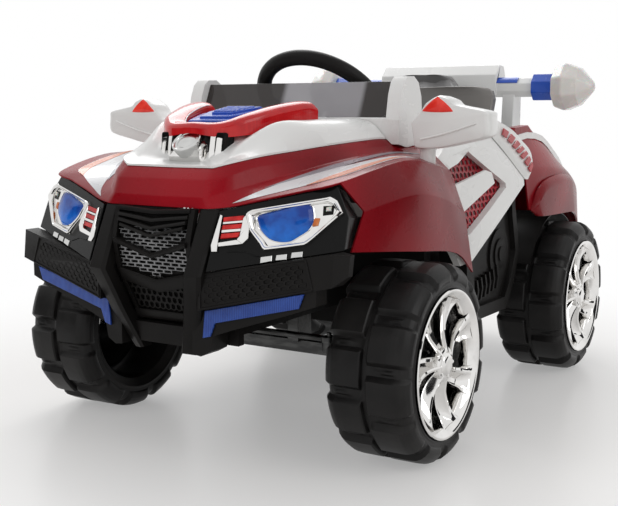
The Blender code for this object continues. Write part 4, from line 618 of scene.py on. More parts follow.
def placed(name, data):
    """A new object in the scene."""
    piece = bpy.data.objects.new(name, data)
    bpy.context.scene.collection.objects.link(piece)
    return piece


def merge(work, close, tiny):
    """Makes points that lie close one, and drops the edges that are too short."""
    bmesh.ops.remove_doubles(work, verts=work.verts, dist=close)
    bmesh.ops.dissolve_degenerate(work, edges=work.edges, dist=tiny)


def piece_of(name, work, finish, crease, body, nodes):
    """A visible piece from its mesh at work: shaded, with its look, on its body, standing for its nodes."""
    mesh = bpy.data.meshes.new(name)
    work.to_mesh(mesh)
    work.free()
    mesh.shade_smooth()
    mesh.set_sharp_from_angle(angle=math.radians(crease))
    mesh.materials.append(look_of(finish))
    piece = placed(name, mesh)
    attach(piece, body)
    if nodes:
        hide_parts(*nodes)
    return piece


def make(name, part, finish, body="car", stands_for=(), crease=35):
    """A new shape as a piece, with doubles merged and faces turned outwards."""
    raw = bpy.data.meshes.new(name + "_raw")
    raw.from_pydata(part[0].tolist(), [], part[1].tolist())
    work = bmesh.new()
    work.from_mesh(raw)
    bpy.data.meshes.remove(raw)
    merge(work, 2e-6, 1e-6)
    bmesh.ops.recalc_face_normals(work, faces=work.faces)
    piece_of(name, work, finish, crease, body, stands_for)


def side_piece(side, label, part, finish, node=None):
    """A piece of one side from the left one's shape. It stands for its side's node, if one is named."""
    make(f"{side}_{label}", for_side(part, side), finish, stands_for=[f"{side}_{node}"] if node else ())


def finished(node, finish, round_by=0.0012, crease=30):
    """A CAD node's merged copy with its sharp edges rounded. It stands for the node."""
    source = frame["nodes"][node]
    work = bmesh.new()
    work.from_mesh(source.data)
    merge(work, 1e-5, 1e-5)
    bmesh.ops.dissolve_limit(work, angle_limit=math.radians(0.5), verts=work.verts, edges=work.edges)
    piece = piece_of(node + "_moulding", work, finish, crease, source["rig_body"], [node])
    edge = piece.modifiers.new("rounded edges", "BEVEL")
    edge.width = round_by
    edge.segments = 2
    edge.limit_method = "ANGLE"
    edge.angle_limit = math.radians(crease)
    edge.harden_normals = True


# Body feature lines of one flank, each from the front to the cabin
HOOD_EDGE = fore(
    (0.080, -0.1985, 0.290), (0.1056, -0.1769, 0.2979), (0.1237, -0.1365, 0.3053),
    (0.1429, -0.0793, 0.3117), (0.164, -0.016, 0.3186), (0.184, 0.0905, 0.3257), (0.190, 0.1205, 0.3255),
    (0.210, 0.1885, 0.316),
)
LIP_UPPER = fore(
    (0.084, -0.2155, 0.274), (0.1101, -0.1899, 0.2823), (0.1277, -0.1474, 0.2916),
    (0.1497, -0.0863, 0.3004), (0.172, -0.018, 0.3067), (0.193, 0.0875, 0.315), (0.202, 0.1205, 0.3155),
    (0.222, 0.1885, 0.3085),
)
LIP_LOWER = fore(
    (0.0856, -0.2248, 0.250), (0.1131, -0.1959, 0.260), (0.1317, -0.1564, 0.2688),
    (0.1542, -0.0963, 0.2815), (0.180, -0.020, 0.2957), (0.203, 0.0775, 0.3065), (0.216, 0.1305, 0.309),
    (0.240, 0.1885, 0.305),
)
WING_RIDGE = fore(
    (0.092, -0.2255, 0.236), (0.125, -0.2135, 0.2405), (0.165, -0.1965, 0.2505), (0.215, -0.1765, 0.2625),
    (0.262, -0.1545, 0.2745), (0.287, -0.0095, 0.299), (0.2885, 0.1005, 0.2875), (0.281, 0.1755, 0.274),
)
WING_CREASE = fore(
    (0.285, -0.127, 0.2335), (0.312, -0.0165, 0.250), (0.309, 0.1005, 0.234), (0.3015, 0.1915, 0.202),
)
WING_HEM = fore(
    (0.286, -0.1645, 0.181), (0.310, -0.0095, 0.166), (0.311, 0.1355, 0.1465), (0.310, 0.2085, 0.106),
)
NOSE_MIDDLE = fore((0, -0.196, 0.2893), (0, -0.2135, 0.274), (0, -0.2245, 0.250), (0, -0.227, 0.236))
FLANGE = 0.012
NOSE_CORNER = 0.008


def from_middle(middle, line):
    """A line across the nose and along a flank: straight, a quadratic arc at the corner, then a curve."""
    flank = sampled(line)
    a = flank[0] + (middle - flank[0]) * NOSE_CORNER / np.linalg.norm(middle - flank[0])
    arc = quadratic(a, flank[0], flank[2], np.linspace(0, 1, 8)[:, None])
    return np.concatenate([middle + (a - middle) * np.linspace(0, 1, 7)[:-1, None], arc, flank[3:]])


def both_halves(rows):
    """A grid whose rows run out from the middle, with its mirror image before it."""
    return np.concatenate([rows[:, :0:-1] * (-1, 1, 1), rows], 1)


def front_shell():
    """The nose and front wings as one sheet with a wall. Its faces over the lamps and wheels are left out."""
    flange = HOOD_EDGE - (FLANGE, 0, 0)
    flange[0] = HOOD_EDGE[0] + (-FLANGE / 2, FLANGE, 0)
    lines = [from_middle(NOSE_MIDDLE[0] + (0, FLANGE, 0), flange)]
    lines += [
        from_middle(m, line) for m, line in zip(NOSE_MIDDLE, (HOOD_EDGE, LIP_UPPER, LIP_LOWER, WING_RIDGE))
    ]
    ridge = lines[-1]
    start = ridge.shape[0] - (len(WING_CREASE) - 1) * PER_SPAN - 1
    for line, drop in ((WING_CREASE, 0.006), (WING_HEM, 0.008)):
        low = ridge - (0, 0, drop)
        low[start:] = sampled(line)
        lines.append(low)
    half = rounded(lines, 0.0022, 3)
    rows = both_halves(half)
    points, faces = sheet_of(rows)
    faces = faces[:, ::-1]
    cols = rows.shape[1]
    kept = half.shape[1]
    row, col = faces[:, 3] // cols, faces[:, 3] % cols
    out = np.where(col >= kept - 1, col - (kept - 1), kept - 2 - col)
    lamp = (row >= half.shape[0] - 7) & (out < start)
    return thickened(welded((points, faces[~lamp])), SKIN)


STRIPE_PROUD, STRIPE_DEPTH, STRIPE_STEP = 0.0006, 0.0004, 0.00025
LINE_POINTS = 400


def wing_patch(low, high, foot, climb, bulge, power):
    """A strip on the face below the wing's lip, a hair proud of it.

    At share s along the strip it runs across the face from foot + climb s to bulge sin(pi s)^power more.
    """
    u = np.linspace(low, high, 60)
    at, s = (u * (LINE_POINTS - 1)).astype(int), (u - low) / (high - low)
    bottom = foot + climb * s
    top = bottom + bulge * np.sin(np.pi * s) ** power
    across = bottom + (top - bottom) * np.linspace(0, 1, 5)[:, None]
    ridge, lower = (curve(line, LINE_POINTS)[at] for line in (WING_RIDGE, LIP_LOWER))
    sheet = sheet_of(blend(ridge, lower, across[..., None]))
    normals = point_normals(sheet)
    normals *= np.sign(normals[:, 2:3])
    return thickened(moved(sheet, normals * STRIPE_PROUD), STRIPE_DEPTH, normals)


# Each stripe: its look, its start and end along the wing, and its foot, climb, bulge and power
STRIPES = (
    ("white", 0.14, 0.80, 0.16, 0.10, 0.50, 0.8),
    ("grey", 0.30, 0.92, 0.62, 0.12, 0.20, 1),
    ("warm", 0.45, 0.75, 0.20, 0.10, 0.16, 1),
)


class RIDEON_OT_front_body(bpy.types.Operator):
    """Makes the red nose and wings, and the stripes on them"""

    bl_idname = "ride_on.front_body"
    bl_label = "Front body"

    def execute(self, context):
        make("front_body_shell", front_shell(), "red", stands_for=["front_body"])
        for index, (label, *shape) in enumerate(STRIPES):
            strip = moved(wing_patch(*shape), (0, 0, STRIPE_STEP * index))
            for side in SIDES:
                side_piece(side, "wing_stripe_" + label, strip, "decal_" + label)
        return {"FINISHED"}


HOOD_LINES = [
    fore(
        (0, -0.196, 0.2893), (0, -0.1540, 0.2945), (0, -0.1395, 0.313), (0, -0.0995, 0.338),
        (0, -0.0295, 0.351), (0, 0.0805, 0.358), (0, 0.1175, 0.358),
    ),
    fore(
        (0.028, -0.1965, 0.2895), (0.034, -0.1560, 0.2947), (0.038, -0.1380, 0.314),
        (0.045, -0.0945, 0.338), (0.056, -0.0245, 0.351), (0.066, 0.0835, 0.358), (0.070, 0.1175, 0.358),
    ),
    fore(
        (0.050, -0.1972, 0.2898), (0.060, -0.1665, 0.296), (0.066, -0.1345, 0.314), (0.083, -0.0845, 0.334),
        (0.097, -0.0195, 0.347), (0.108, 0.0855, 0.354), (0.112, 0.1175, 0.355),
    ),
    fore(
        (0.066, -0.1978, 0.2899), (0.080, -0.1665, 0.300), (0.090, -0.1295, 0.327),
        (0.108, -0.0765, 0.3535), (0.124, -0.0145, 0.3555), (0.140, 0.0885, 0.357), (0.147, 0.1185, 0.356),
    ),
    fore(
        (0.074, -0.1982, 0.290), (0.090, -0.166, 0.2998), (0.106, -0.1275, 0.318), (0.126, -0.0735, 0.3385),
        (0.145, -0.0135, 0.344), (0.163, 0.0895, 0.3465), (0.170, 0.1195, 0.346),
    ),
]


class RIDEON_OT_hood(bpy.types.Operator):
    """Makes the white hood"""

    bl_idname = "ride_on.hood"
    bl_label = "Hood"

    def execute(self, context):
        edge = HOOD_EDGE[:-1] - (0.0008, 0, 0)
        lines = np.array([sampled(line) for line in [*HOOD_LINES, edge]])
        half = rounded(lines + (0, 0, SKIN + 2 * GAP), 0.009, 4)
        other = (half * (-1, 1, 1))[:0:-1]
        sheet = welded(sheet_of(np.concatenate([other, half])))
        make("hood_shell", thickened(sheet, SKIN, UP), "white", stands_for=["hood"])
        return {"FINISHED"}


REAR_TOP = aft(
    (0.262, -0.1755, 0.308), (0.262, -0.0855, 0.318), (0.262, 0.0045, 0.310), (0.260, 0.0845, 0.280),
    (0.250, 0.1845, 0.242), (0.215, 0.2445, 0.225), (0.110, 0.2535, 0.226), (0, 0.2545, 0.227),
)
REAR_RIDGE = aft(
    (0.292, -0.1675, 0.250), (0.300, -0.0855, 0.255), (0.305, -0.0005, 0.250), (0.300, 0.0945, 0.238),
    (0.285, 0.1845, 0.205), (0.240, 0.2525, 0.185), (0.120, 0.2575, 0.185), (0, 0.2585, 0.185),
)
REAR_HEM = aft(
    (0.300, -0.1655, 0.186), (0.306, -0.1105, 0.182), (0.308, -0.0005, 0.168), (0.305, 0.1045, 0.159),
    (0.290, 0.1845, 0.125), (0.250, 0.2445, 0.112), (0.120, 0.2545, 0.112), (0, 0.2555, 0.112),
)
LIP_HALF = 0.203
LIP_START = 0.2338
LIP_HEIGHT = 0.2398


def deck_lip():
    """The deck's folded back edge: at x across and angle t it goes out as sin t and falls as 1 - cos t.

    It starts inside the deck's plate and ends on the top line of the tail.
    """
    top = sampled(REAR_TOP)
    top = top[np.argsort(top[:, 0])]
    x = np.linspace(-LIP_HALF, LIP_HALF, 41)
    start = aft((0, LIP_START, LIP_HEIGHT))[0]
    t = np.linspace(0, np.pi / 2, 11)[:, None]
    y = start[1] + (np.interp(abs(x), top[:, 0], top[:, 1]) - 0.001 - start[1]) * np.sin(t)
    z = start[2] + (np.interp(abs(x), top[:, 0], top[:, 2]) + 0.0008 - start[2]) * (1 - np.cos(t))
    return thickened(sheet_of(np.stack([np.broadcast_to(x, y.shape), y, z], -1)), 0.0025, (0, 0.7, 0.7))


class RIDEON_OT_rear_body(bpy.types.Operator):
    """Makes the red rear wings and tail, and rounds the white deck, bumper and lamps there"""

    bl_idname = "ride_on.rear_body"
    bl_label = "Rear body"

    def execute(self, context):
        half = rounded([sampled(line)[::-1] for line in (REAR_TOP, REAR_RIDGE, REAR_HEM)], 0.012, 6)
        shell = thickened(welded(sheet_of(both_halves(half))), SKIN)
        make("rear_body_shell", shell, "red", stands_for=["rear_body"])
        finished("rear_deck", "white", 0.0025, 25)
        make("rear_deck_lip", deck_lip(), "white")
        finished("rear_bumper", "black", 0.003)
        for side in SIDES:
            finished(side + "_tail_light", "clear_red", 0.001)
        return {"FINISHED"}


def tyre_part():
    """The tyre: at angle t the slot's profile is blended to the lug's by a step in t, and spun about X.

    The step rises over a lug's flank. The two rows of lugs stand half a pitch apart.
    """
    r, h = TYRE_RADIUS, TYRE_HALF
    foot = [(0, r - 0.008), (0.0035, r - 0.008)]
    bead = [
        (h - 0.0032, 0.1175), (h - 0.0022, 0.1155), (h - 0.0022, 0.1135), (h - 0.0042, 0.1128),
        (h - 0.0075, 0.108), (h - 0.0125, 0.100),
    ]
    lug = np.array([
        *foot, (0.0050, r - 0.002), (0.0068, r), (0.022, r), (0.040, r), (h - 0.018, r - 0.0008),
        (h - 0.011, r - 0.004), (h - 0.0045, r - 0.0100), (h - 0.0008, r - 0.0165), (h - 0.0004, r - 0.022),
        (h - 0.0012, r - 0.0255), (h - 0.0030, r - 0.0275), *bead,
    ])
    slot = np.array([
        *foot, (0.0050, r - 0.0085), (0.0068, r - 0.0090), (0.022, r - 0.0092), (0.040, r - 0.0092),
        (h - 0.018, r - 0.0095), (h - 0.012, r - 0.0115), (h - 0.0075, r - 0.0155),
        (h - 0.0045, r - 0.0200), (h - 0.0034, r - 0.0240), (h - 0.0032, r - 0.0265),
        (h - 0.0030, r - 0.0290), *bead,
    ])
    phase = np.concatenate([
        np.linspace(0, LUG_SHARE, 12), np.linspace(LUG_SHARE, LUG_SHARE + LUG_FLANK, 4)[1:],
        np.linspace(LUG_SHARE + LUG_FLANK, 1 - LUG_FLANK, 6)[1:], np.linspace(1 - LUG_FLANK, 1, 4)[1:-1],
    ])
    per = len(phase)
    p = np.tile(phase, LUGS)
    turn = np.repeat(np.arange(LUGS), per) + p
    rises = smoothstep((p - (1 - LUG_FLANK)) / LUG_FLANK)
    falls = 1 - smoothstep((p - LUG_SHARE) / LUG_FLANK)
    mask = np.where(p > 0.85, rises, falls)
    sipe = smoothstep(1 - abs(p - 0.32) / 0.035)
    tie = smoothstep(1 - abs(p - 0.82) / 0.05)
    places = np.linspace(0, len(lug) - 1, 3 * (len(lug) - 1) + 1)
    index = np.arange(len(lug))
    high, low = (
        np.stack([np.interp(places, index, line[:, k]) for k in (0, 1)], -1) for line in (lug, slot)
    )
    mid = smoothstep((places - 3.6) / 0.8) * smoothstep((6.2 - places) / 0.8)
    section = low[:, None] + (high - low)[:, None] * mask[None, :, None]
    section[..., 1] -= 0.0016 * sipe[None] * mid[:, None]
    section[..., 1] += 0.0030 * tie[None] * mid[:, None]
    along, radius = section[..., 0], section[..., 1]
    halves = []
    for sign, lead in ((-1, 0.5), (1, 0.0)):
        angle = 2 * np.pi / LUGS * (turn + lead)
        points = np.stack([sign * along, radius * np.sin(angle), -radius * np.cos(angle)], -1)
        halves.append(np.roll(points, per // 2, 1)[::-1] if sign == -1 else points)
    return sheet_of(np.concatenate([halves[0][:-1], halves[1]]), loop_rows=True, loop_cols=True)


def blade_part(index):
    """One swept spoke: at share u out from the hub a closed section of eleven points, turned by u.

    The angle grows as u - u*u/2, the width grows with u, and the face dips as sin(pi u). One side of the
    section is a ridge, and the other is a scoop.
    """
    u = np.linspace(0, 1, 21)
    radius = HUB_RADIUS - 0.008 + (RIM_SEAT - 0.0015 - HUB_RADIUS + 0.008) * u
    angle = 2 * np.pi * index / BLADES + BLADE_SWEEP * (u - 0.5 * u**2)
    flare = np.clip((u - 0.80) / 0.20, 0, 1) ** 2
    half = (0.017 + 0.019 * u + 0.014 * flare) / 2
    face = TYRE_HALF - 0.0030 - 0.0085 * np.sin(np.pi * u)
    section = np.array([
        (1.00, -0.0260), (1.00, -0.0060), (0.88, -0.0010), (0.62, 0.0), (0.40, -0.0014), (0.18, -0.0080),
        (-0.25, -0.0155), (-0.70, -0.0160), (-0.93, -0.0085), (-1.0, -0.0095), (-1.0, -0.0260),
    ])
    deep = 0.55 + 0.45 * np.sin(np.pi * np.clip(u * 0.9 + 0.1, 0, 1)) - 0.35 * flare
    out = np.stack([0 * u, np.sin(angle), -np.cos(angle)], -1)
    across = np.stack([0 * u, np.cos(angle), np.sin(angle)], -1)
    rings = (
        out[:, None] * radius[:, None, None]
        + across[:, None] * (half[:, None] * section[:, 0])[..., None]
        + ACROSS * (face[:, None] + section[:, 1] * deep[:, None])[..., None]
    )
    return capped(rings)


def rim_part():
    """The chrome cover: a rolled lip and a stepped hub spun about the axle, with swept blades and bolts."""
    h = TYRE_HALF
    lip = turned([
        (h - 0.0008, 0.1095), (h - 0.0008, 0.1118), (h + 0.0004, 0.1124), (h + 0.0016, 0.1118),
        (h + 0.0017, 0.1104), (h + 0.0014, 0.1086), (h - 0.0002, 0.1062), (h - 0.0030, 0.1030),
        (h - 0.0065, 0.0990), (h - 0.0120, 0.0966), (h - 0.0400, 0.0962), (h - 0.0400, 0.0992),
        (h - 0.0110, 0.0994), (h - 0.0060, 0.1030),
    ], 96, closed=True)
    hub = turned([
        (h - 0.0330, 0.0001), (h - 0.0330, 0.0150), (h - 0.0200, 0.0262), (h - 0.0085, 0.0262),
        (h - 0.0062, 0.0250), (h - 0.0050, 0.0225), (h - 0.0050, 0.0180), (h - 0.0035, 0.0165),
        (h - 0.0012, 0.0135), (h - 0.0005, 0.0110), (h - 0.0008, 0.0060), (h - 0.0008, 0.0001),
    ], 48)
    bolts = []
    bolt = turned([
        (h - 0.012, 0.0001), (h - 0.012, 0.0032), (h - 0.0040, 0.0032), (h - 0.0030, 0.0024),
        (h - 0.0030, 0.0001),
    ], 6)
    for k in range(BOLTS):
        angle = 2 * np.pi * (k + 0.25) / BOLTS
        bolts.append(moved(bolt, (0, BOLT_CIRCLE * math.sin(angle), BOLT_CIRCLE * math.cos(angle))))
    return joined(lip, hub, *bolts, *[blade_part(k) for k in range(BLADES)])


def web_part():
    """The black dish behind the blades: a profile spun about the axle, with a wall."""
    h = TYRE_HALF
    face = turned([
        (h - 0.034, 0.0145), (h - 0.030, 0.030), (h - 0.036, 0.055), (h - 0.046, 0.075), (h - 0.050, 0.090),
        (h - 0.040, 0.0955),
    ], 64)
    return thickened(face, 0.003, ACROSS)


class RIDEON_OT_wheels(bpy.types.Operator):
    """Makes the four treaded tyres, their black dishes and their chrome covers"""

    bl_idname = "ride_on.wheels"
    bl_label = "Wheels"

    def execute(self, context):
        # Label, shape, finish, node stood for, and the slot where it isn't the finish's own
        kinds = (
            ("tyre_moulding", tyre_part(), "tyre", "tyre", None),
            ("rim_moulding", rim_part(), "chrome", "rim", None),
            ("wheel_dish", web_part(), "black_smooth", None, "tyre"),
        )
        for end, axle in (("front", FRONT_AXLE), ("rear", REAR_AXLE)):
            for side in SIDES:
                wheel = f"{end}_{side}"
                for label, part, finish, node, slot in kinds:
                    part = for_side(moved(part, axle + (WHEEL_X, 0, 0)), side)
                    stands_for = [f"{wheel}_{node}"] if node else ()
                    make(f"{wheel}_{label}", part, finish, wheel + "_wheel", stands_for, 30)
        return {"FINISHED"}


# Front: bars, shelves, grille and lamps
GRILLE_EDGE = fore(
    (0.0736, -0.2325, 0.234), (0.0726, -0.244, 0.188), (0.0716, -0.2365, 0.143), (0.0496, -0.214, 0.065)
)
RIB_DEPTH, NET_DEPTH = 0.008, 0.0025


def grille_edge(z, axis):
    """Where the grille's edge runs at a height: its X for axis 0, its Y for axis 1."""
    return np.interp(z, GRILLE_EDGE[::-1, 2], GRILLE_EDGE[::-1, axis])


def grille_at(x, z, out):
    """A point on the grille: its Y follows the panel's edge by height, and out metres stand proud."""
    return np.stack(np.broadcast_arrays(x, grille_edge(z, 1) - out, z), -1)


def chevron(top, height, half, drop, out):
    """A ridged V rib on the grille: at share u across it the line falls by drop times 1 - |u|."""
    u = np.linspace(-1, 1, 25)
    v = np.array((0, 0.12, 0.5, 0.88, 1.0))
    stands = np.array((0.0, 0.8, 1.0, 0.8, 0.0)) * out
    z = top - drop * (1 - abs(u))[None] - height * v[:, None]
    points = grille_at(np.broadcast_to(half * u, z.shape), z, stands[:, None])
    return thickened(sheet_of(points), RIB_DEPTH, AHEAD)


def mesh_zone(low, high, pitch, rib, flat, sag, out):
    """A net of cells on the grille between two heights, whose lower edge is V shaped."""
    middle = (low + high - sag) / 2

    def test(q):
        p = q + (0, middle)
        half = grille_edge(p[:, 1], 0) - 0.006
        floor = low - sag * (1 - abs(p[:, 0]) / 0.07)
        return (abs(p[:, 0]) < half) & (p[:, 1] < high) & (p[:, 1] > floor)

    flat_points, faces = lattice(24, 24, pitch, rib, flat, test)
    points = grille_at(flat_points[:, 0], flat_points[:, 1] + middle, out)
    return thickened(welded((points, faces[:, ::-1])), NET_DEPTH, AHEAD)


UPPER_NETS = ((0.344, 0.3545), (0.300, 0.334))
# The V ribs: top, height, half-width, drop and how far out
RIBS = (
    (0.3850, 0.0070, 0.066, 0.004, 0.0030), (0.3760, 0.0060, 0.064, 0.007, 0.0045),
    (0.3685, 0.0060, 0.062, 0.011, 0.0055), (0.3605, 0.0055, 0.058, 0.014, 0.0050),
    (0.3390, 0.0085, 0.066, 0.020, 0.0060), (0.2930, 0.0200, 0.064, 0.014, 0.0020),
    (0.2300, 0.0140, 0.052, 0.000, 0.0020),
)


def grille_parts():
    """The black frame of the grille: a plate at the back, a border strip each side, and V ribs."""
    z = np.linspace(GRILLE_EDGE[-1, 2], GRILLE_EDGE[0, 2], 30)
    edge = grille_edge(z, 0)
    strips = [(np.stack([grille_at(s * (edge - 0.001), z, -0.0085) for s in (-1, 1)]), 0.001)]
    for s in (-1, 1):
        rows = np.stack([grille_at(s * (edge - 0.0006), z, 0), grille_at(s * (edge - 0.009), z, 0.001)])
        strips.append((rows, RIB_DEPTH))
    parts = [thickened(sheet_of(rows), depth, AHEAD) for rows, depth in strips]
    return joined(*parts, *[chevron(*rib) for rib in RIBS])


SHELF = fore(
    (0.090, -0.2515, 0.1475), (0.285, -0.2115, 0.1835), (0.285, -0.2165, 0.139), (0.090, -0.2525, 0.095)
)


def shelf_at(a, b, out):
    """A point of the shelf's front face: a along it and b down it, both 0 to 1, and out metres proud."""
    a, b = (x[..., None] for x in np.broadcast_arrays(a, b))
    top = SHELF[0] * (1 - a) * (1 - b) + SHELF[1] * a * (1 - b)
    point = top + SHELF[2] * a * b + SHELF[3] * (1 - a) * b
    normal = np.cross(SHELF[3] - SHELF[0], SHELF[1] - SHELF[0])
    return point + normal / (np.linalg.norm(normal) * np.sign(-normal[1])) * out


def shelf_relief():
    """The moulded pattern on a shelf: a raised rim round staggered six-sided cells."""
    region = within([(0.05, 0.14), (0.76, 0.14), (0.80, 0.86), (0.05, 0.86)])
    size, middle = np.array((0.195, 0.052)), np.array((0.43, 0.5))
    pitch, rib = (0.0125, 0.0072) / size, (0.0034, 0.0026) / size
    flat_points, faces = lattice(14, 30, pitch, rib, 0.0, lambda q: region(q + middle))
    net = (shelf_at(*(flat_points + middle).T, 0.0010), faces)
    parts = [thickened(welded(net), 0.0016, (0.10, -1.0, 0.05))]
    corners = np.array([(0.02, 0.04), (0.80, 0.04), (0.86, 0.96), (0.02, 0.96), (0.02, 0.04)])
    s = np.linspace(0, 1, 12)[:, None]
    for start, end in zip(corners, corners[1:]):
        parts.append(tube(shelf_at(*(start + (end - start) * s).T, 0.0006), 0.0013, 8))
    return joined(*parts)


# Headlight panel
LAMP_CORNER = fore((0.1116, -0.2215, 0.2286))[0]
LAMP_SWEEP, LAMP_LEAN = 0.34, 0.425
LAMP_NORMAL = np.array((LAMP_SWEEP, -1, LAMP_LEAN)) / np.linalg.norm((LAMP_SWEEP, -1, LAMP_LEAN))
BEZEL = np.array([
    (0.1448, 0.3777), (0.1524, 0.3840), (0.2440, 0.4014), (0.2530, 0.4036), (0.2634, 0.3984),
    (0.2732, 0.3832), (0.2680, 0.3764), (0.2408, 0.3470), (0.2317, 0.3394), (0.1808, 0.3313),
    (0.1729, 0.3391), (0.1560, 0.3562),
])
BEZEL_INNER = np.array([
    (0.1579, 0.3779), (0.1653, 0.3815), (0.2440, 0.3955), (0.2500, 0.3962), (0.2560, 0.3940),
    (0.2631, 0.3870), (0.2590, 0.3770), (0.2385, 0.3520), (0.2292, 0.3447), (0.1834, 0.3381),
    (0.1755, 0.3459), (0.1608, 0.3590),
])
LENS = np.array([
    (0.1616, 0.3767), (0.1841, 0.3837), (0.2006, 0.3891), (0.2174, 0.3935), (0.2284, 0.3923),
    (0.2339, 0.3823), (0.2358, 0.3703), (0.2314, 0.3594), (0.2211, 0.3511), (0.2117, 0.3449),
    (0.1984, 0.3438), (0.1840, 0.3475), (0.1707, 0.3579), (0.1635, 0.3686),
])
MARKER_BARS = (
    [(0.1159, 0.3736), (0.1429, 0.3769), (0.1434, 0.3708), (0.1165, 0.3677)],
    [(0.1169, 0.3633), (0.1434, 0.3660), (0.1434, 0.3599), (0.1172, 0.3572)],
    [(0.1175, 0.3518), (0.1426, 0.3545), (0.1419, 0.3484), (0.1180, 0.3457)],
)
MARKER_FRAME = (
    [
        (0.1109, 0.3769), (0.1140, 0.3756), (0.1164, 0.3389), (0.1176, 0.3281), (0.1100, 0.3278),
        (0.1075, 0.3352),
    ],
    [(0.1163, 0.3395), (0.1408, 0.3443), (0.1489, 0.3391), (0.1437, 0.3380), (0.1175, 0.3345)],
    [
        (0.1408, 0.3443), (0.1435, 0.3477), (0.1430, 0.3735), (0.1455, 0.3777), (0.1520, 0.3737),
        (0.1549, 0.3548), (0.1554, 0.3467), (0.1489, 0.3391),
    ],
    [(0.1164, 0.3668), (0.1434, 0.3699), (0.1434, 0.3672), (0.1167, 0.3643)],
    [(0.1171, 0.3563), (0.1431, 0.3590), (0.1429, 0.3557), (0.1174, 0.3528)],
)
SQUARES = (
    [(0.1765, 0.3231), (0.1916, 0.3256), (0.1926, 0.3183), (0.1777, 0.3149)],
    [(0.1968, 0.3264), (0.2106, 0.3282), (0.2116, 0.3209), (0.1971, 0.3191)],
    [(0.2162, 0.3303), (0.2306, 0.3321), (0.2315, 0.3248), (0.2165, 0.3228)],
)
SMALL_LAMP = [(0.2374, 0.3757), (0.2441, 0.3758), (0.2434, 0.3664), (0.2370, 0.3649)]
BULB = [(0.2498, 0.3901), (0.2562, 0.3915), (0.2568, 0.3855), (0.2502, 0.3847)]
BULB_WELL = [(0.2445, 0.3925), (0.2600, 0.3935), (0.2605, 0.3810), (0.2465, 0.3790)]
CREASE = np.array([(0.130, 0.3290), (0.1524, 0.3298), (0.1701, 0.3243), (0.1762, 0.3245)])


def lamp_at(flat, out):
    """A point of the headlight panel from its width and height, out metres along the panel's normal."""
    x, z = flat[..., 0], flat[..., 1]
    y = LAMP_CORNER[1] + LAMP_SWEEP * (x - LAMP_CORNER[0]) + LAMP_LEAN * (z - LAMP_CORNER[2])
    return np.stack([x, y, z], -1) + LAMP_NORMAL * out


def loop_curve(points, per_side, sharp):
    """A closed curve through the points: between straight sides and a Catmull-Rom loop by the share sharp."""
    p = np.asarray(points, float)
    n = len(p)
    place = np.linspace(0, n, n * per_side, endpoint=False)
    span, t = place.astype(int), (place % 1)[:, None]
    a, b, c, d = (p[(span + k - 1) % n] for k in range(4))
    return (b + (c - b) * t) * sharp + catmull(a, b, c, d, t) * (1 - sharp)


def ring_on_lamp(outer, inner, levels, sharp=0.75):
    """A moulded rim on the headlight panel: each level is a loop a share of the way inwards, standing out."""
    outer, inner = loop_curve(outer, 6, sharp), loop_curve(inner, 6, sharp)
    rows = [lamp_at(outer + (inner - outer) * share, out) for share, out in levels]
    return sheet_of(rows, loop_rows=True, loop_cols=True)


def dome_on_lamp(outline, edge, height):
    """A domed lens: the outline shrinks as 1 - s, and stands proud as the root of 1 - (1 - s) squared."""
    loop = loop_curve(outline, 8, 0.1)
    rows = [lamp_at(loop, -0.006)]
    for s in np.linspace(0, 1, 9):
        rows.append(lamp_at(scaled(loop, 1 - s), edge + (height - edge) * math.sqrt(1 - (1 - s) ** 2)))
    return sheet_of(rows, loop_cols=True)


def slab_on_lamp(corners, low, high, chamfer=0.0008):
    """A flat tile with a chamfered rim on the headlight panel."""
    c = np.asarray(corners, float)
    centre = scaled(c, 0)
    levels = ((centre, low), (c, low), (c, high - chamfer), (inset(c, chamfer), high), (centre, high))
    return sheet_of([lamp_at(flat, out) for flat, out in levels], loop_cols=True)


def slabs_on_lamp(shapes, low, high):
    """Several tiles as one shape."""
    return joined(*[slab_on_lamp(corners, low, high) for corners in shapes])


def lamp_pieces():
    """The pieces of the left headlight: name, shape, finish and the node each stands for."""
    rim = (
        (0, -0.004), (0, 0.0050), (0.10, 0.0068), (0.40, 0.0072), (0.60, 0.0052), (0.82, 0.0046),
        (1, 0.0012), (1, -0.0060),
    )
    collar = ((0, -0.001), (0.1, 0.0020), (0.5, 0.0030), (1, 0.0018), (1, -0.001))
    around_lens = ring_on_lamp(scaled(LENS, 1.07), scaled(LENS, 0.98), collar, 0.1)
    return (
        ("headlight_rim", ring_on_lamp(BEZEL, BEZEL_INNER, rim), "chrome", "headlight_bezel"),
        ("lens_collar", around_lens, "chrome", None),
        ("lamp_reflector", slab_on_lamp(BEZEL_INNER, -0.004, 0.0008, 0.0004), "chrome", None),
        ("lens_cover", dome_on_lamp(LENS, 0.0015, 0.0100), "lens", "headlight_lens"),
        ("marker_bars", slabs_on_lamp(MARKER_BARS, -0.001, 0.0040), "clear_red", "marker_lamp"),
        ("marker_frame", slabs_on_lamp(MARKER_FRAME, -0.001, 0.0050), "chrome", None),
        ("small_lamp", slab_on_lamp(SMALL_LAMP, 0.0002, 0.0035), "amber", None),
        ("bulb_well", slab_on_lamp(BULB_WELL, 0.0002, 0.0012), "black_smooth", None),
        ("bulb", slab_on_lamp(BULB, 0.0010, 0.0040), "frost", None),
        ("lamp_squares", slabs_on_lamp(SQUARES, -0.001, 0.0022), "silver", None),
        ("lamp_crease", tube(lamp_at(CREASE, 0.0003), 0.0009, 8), "black_smooth", None),
    )


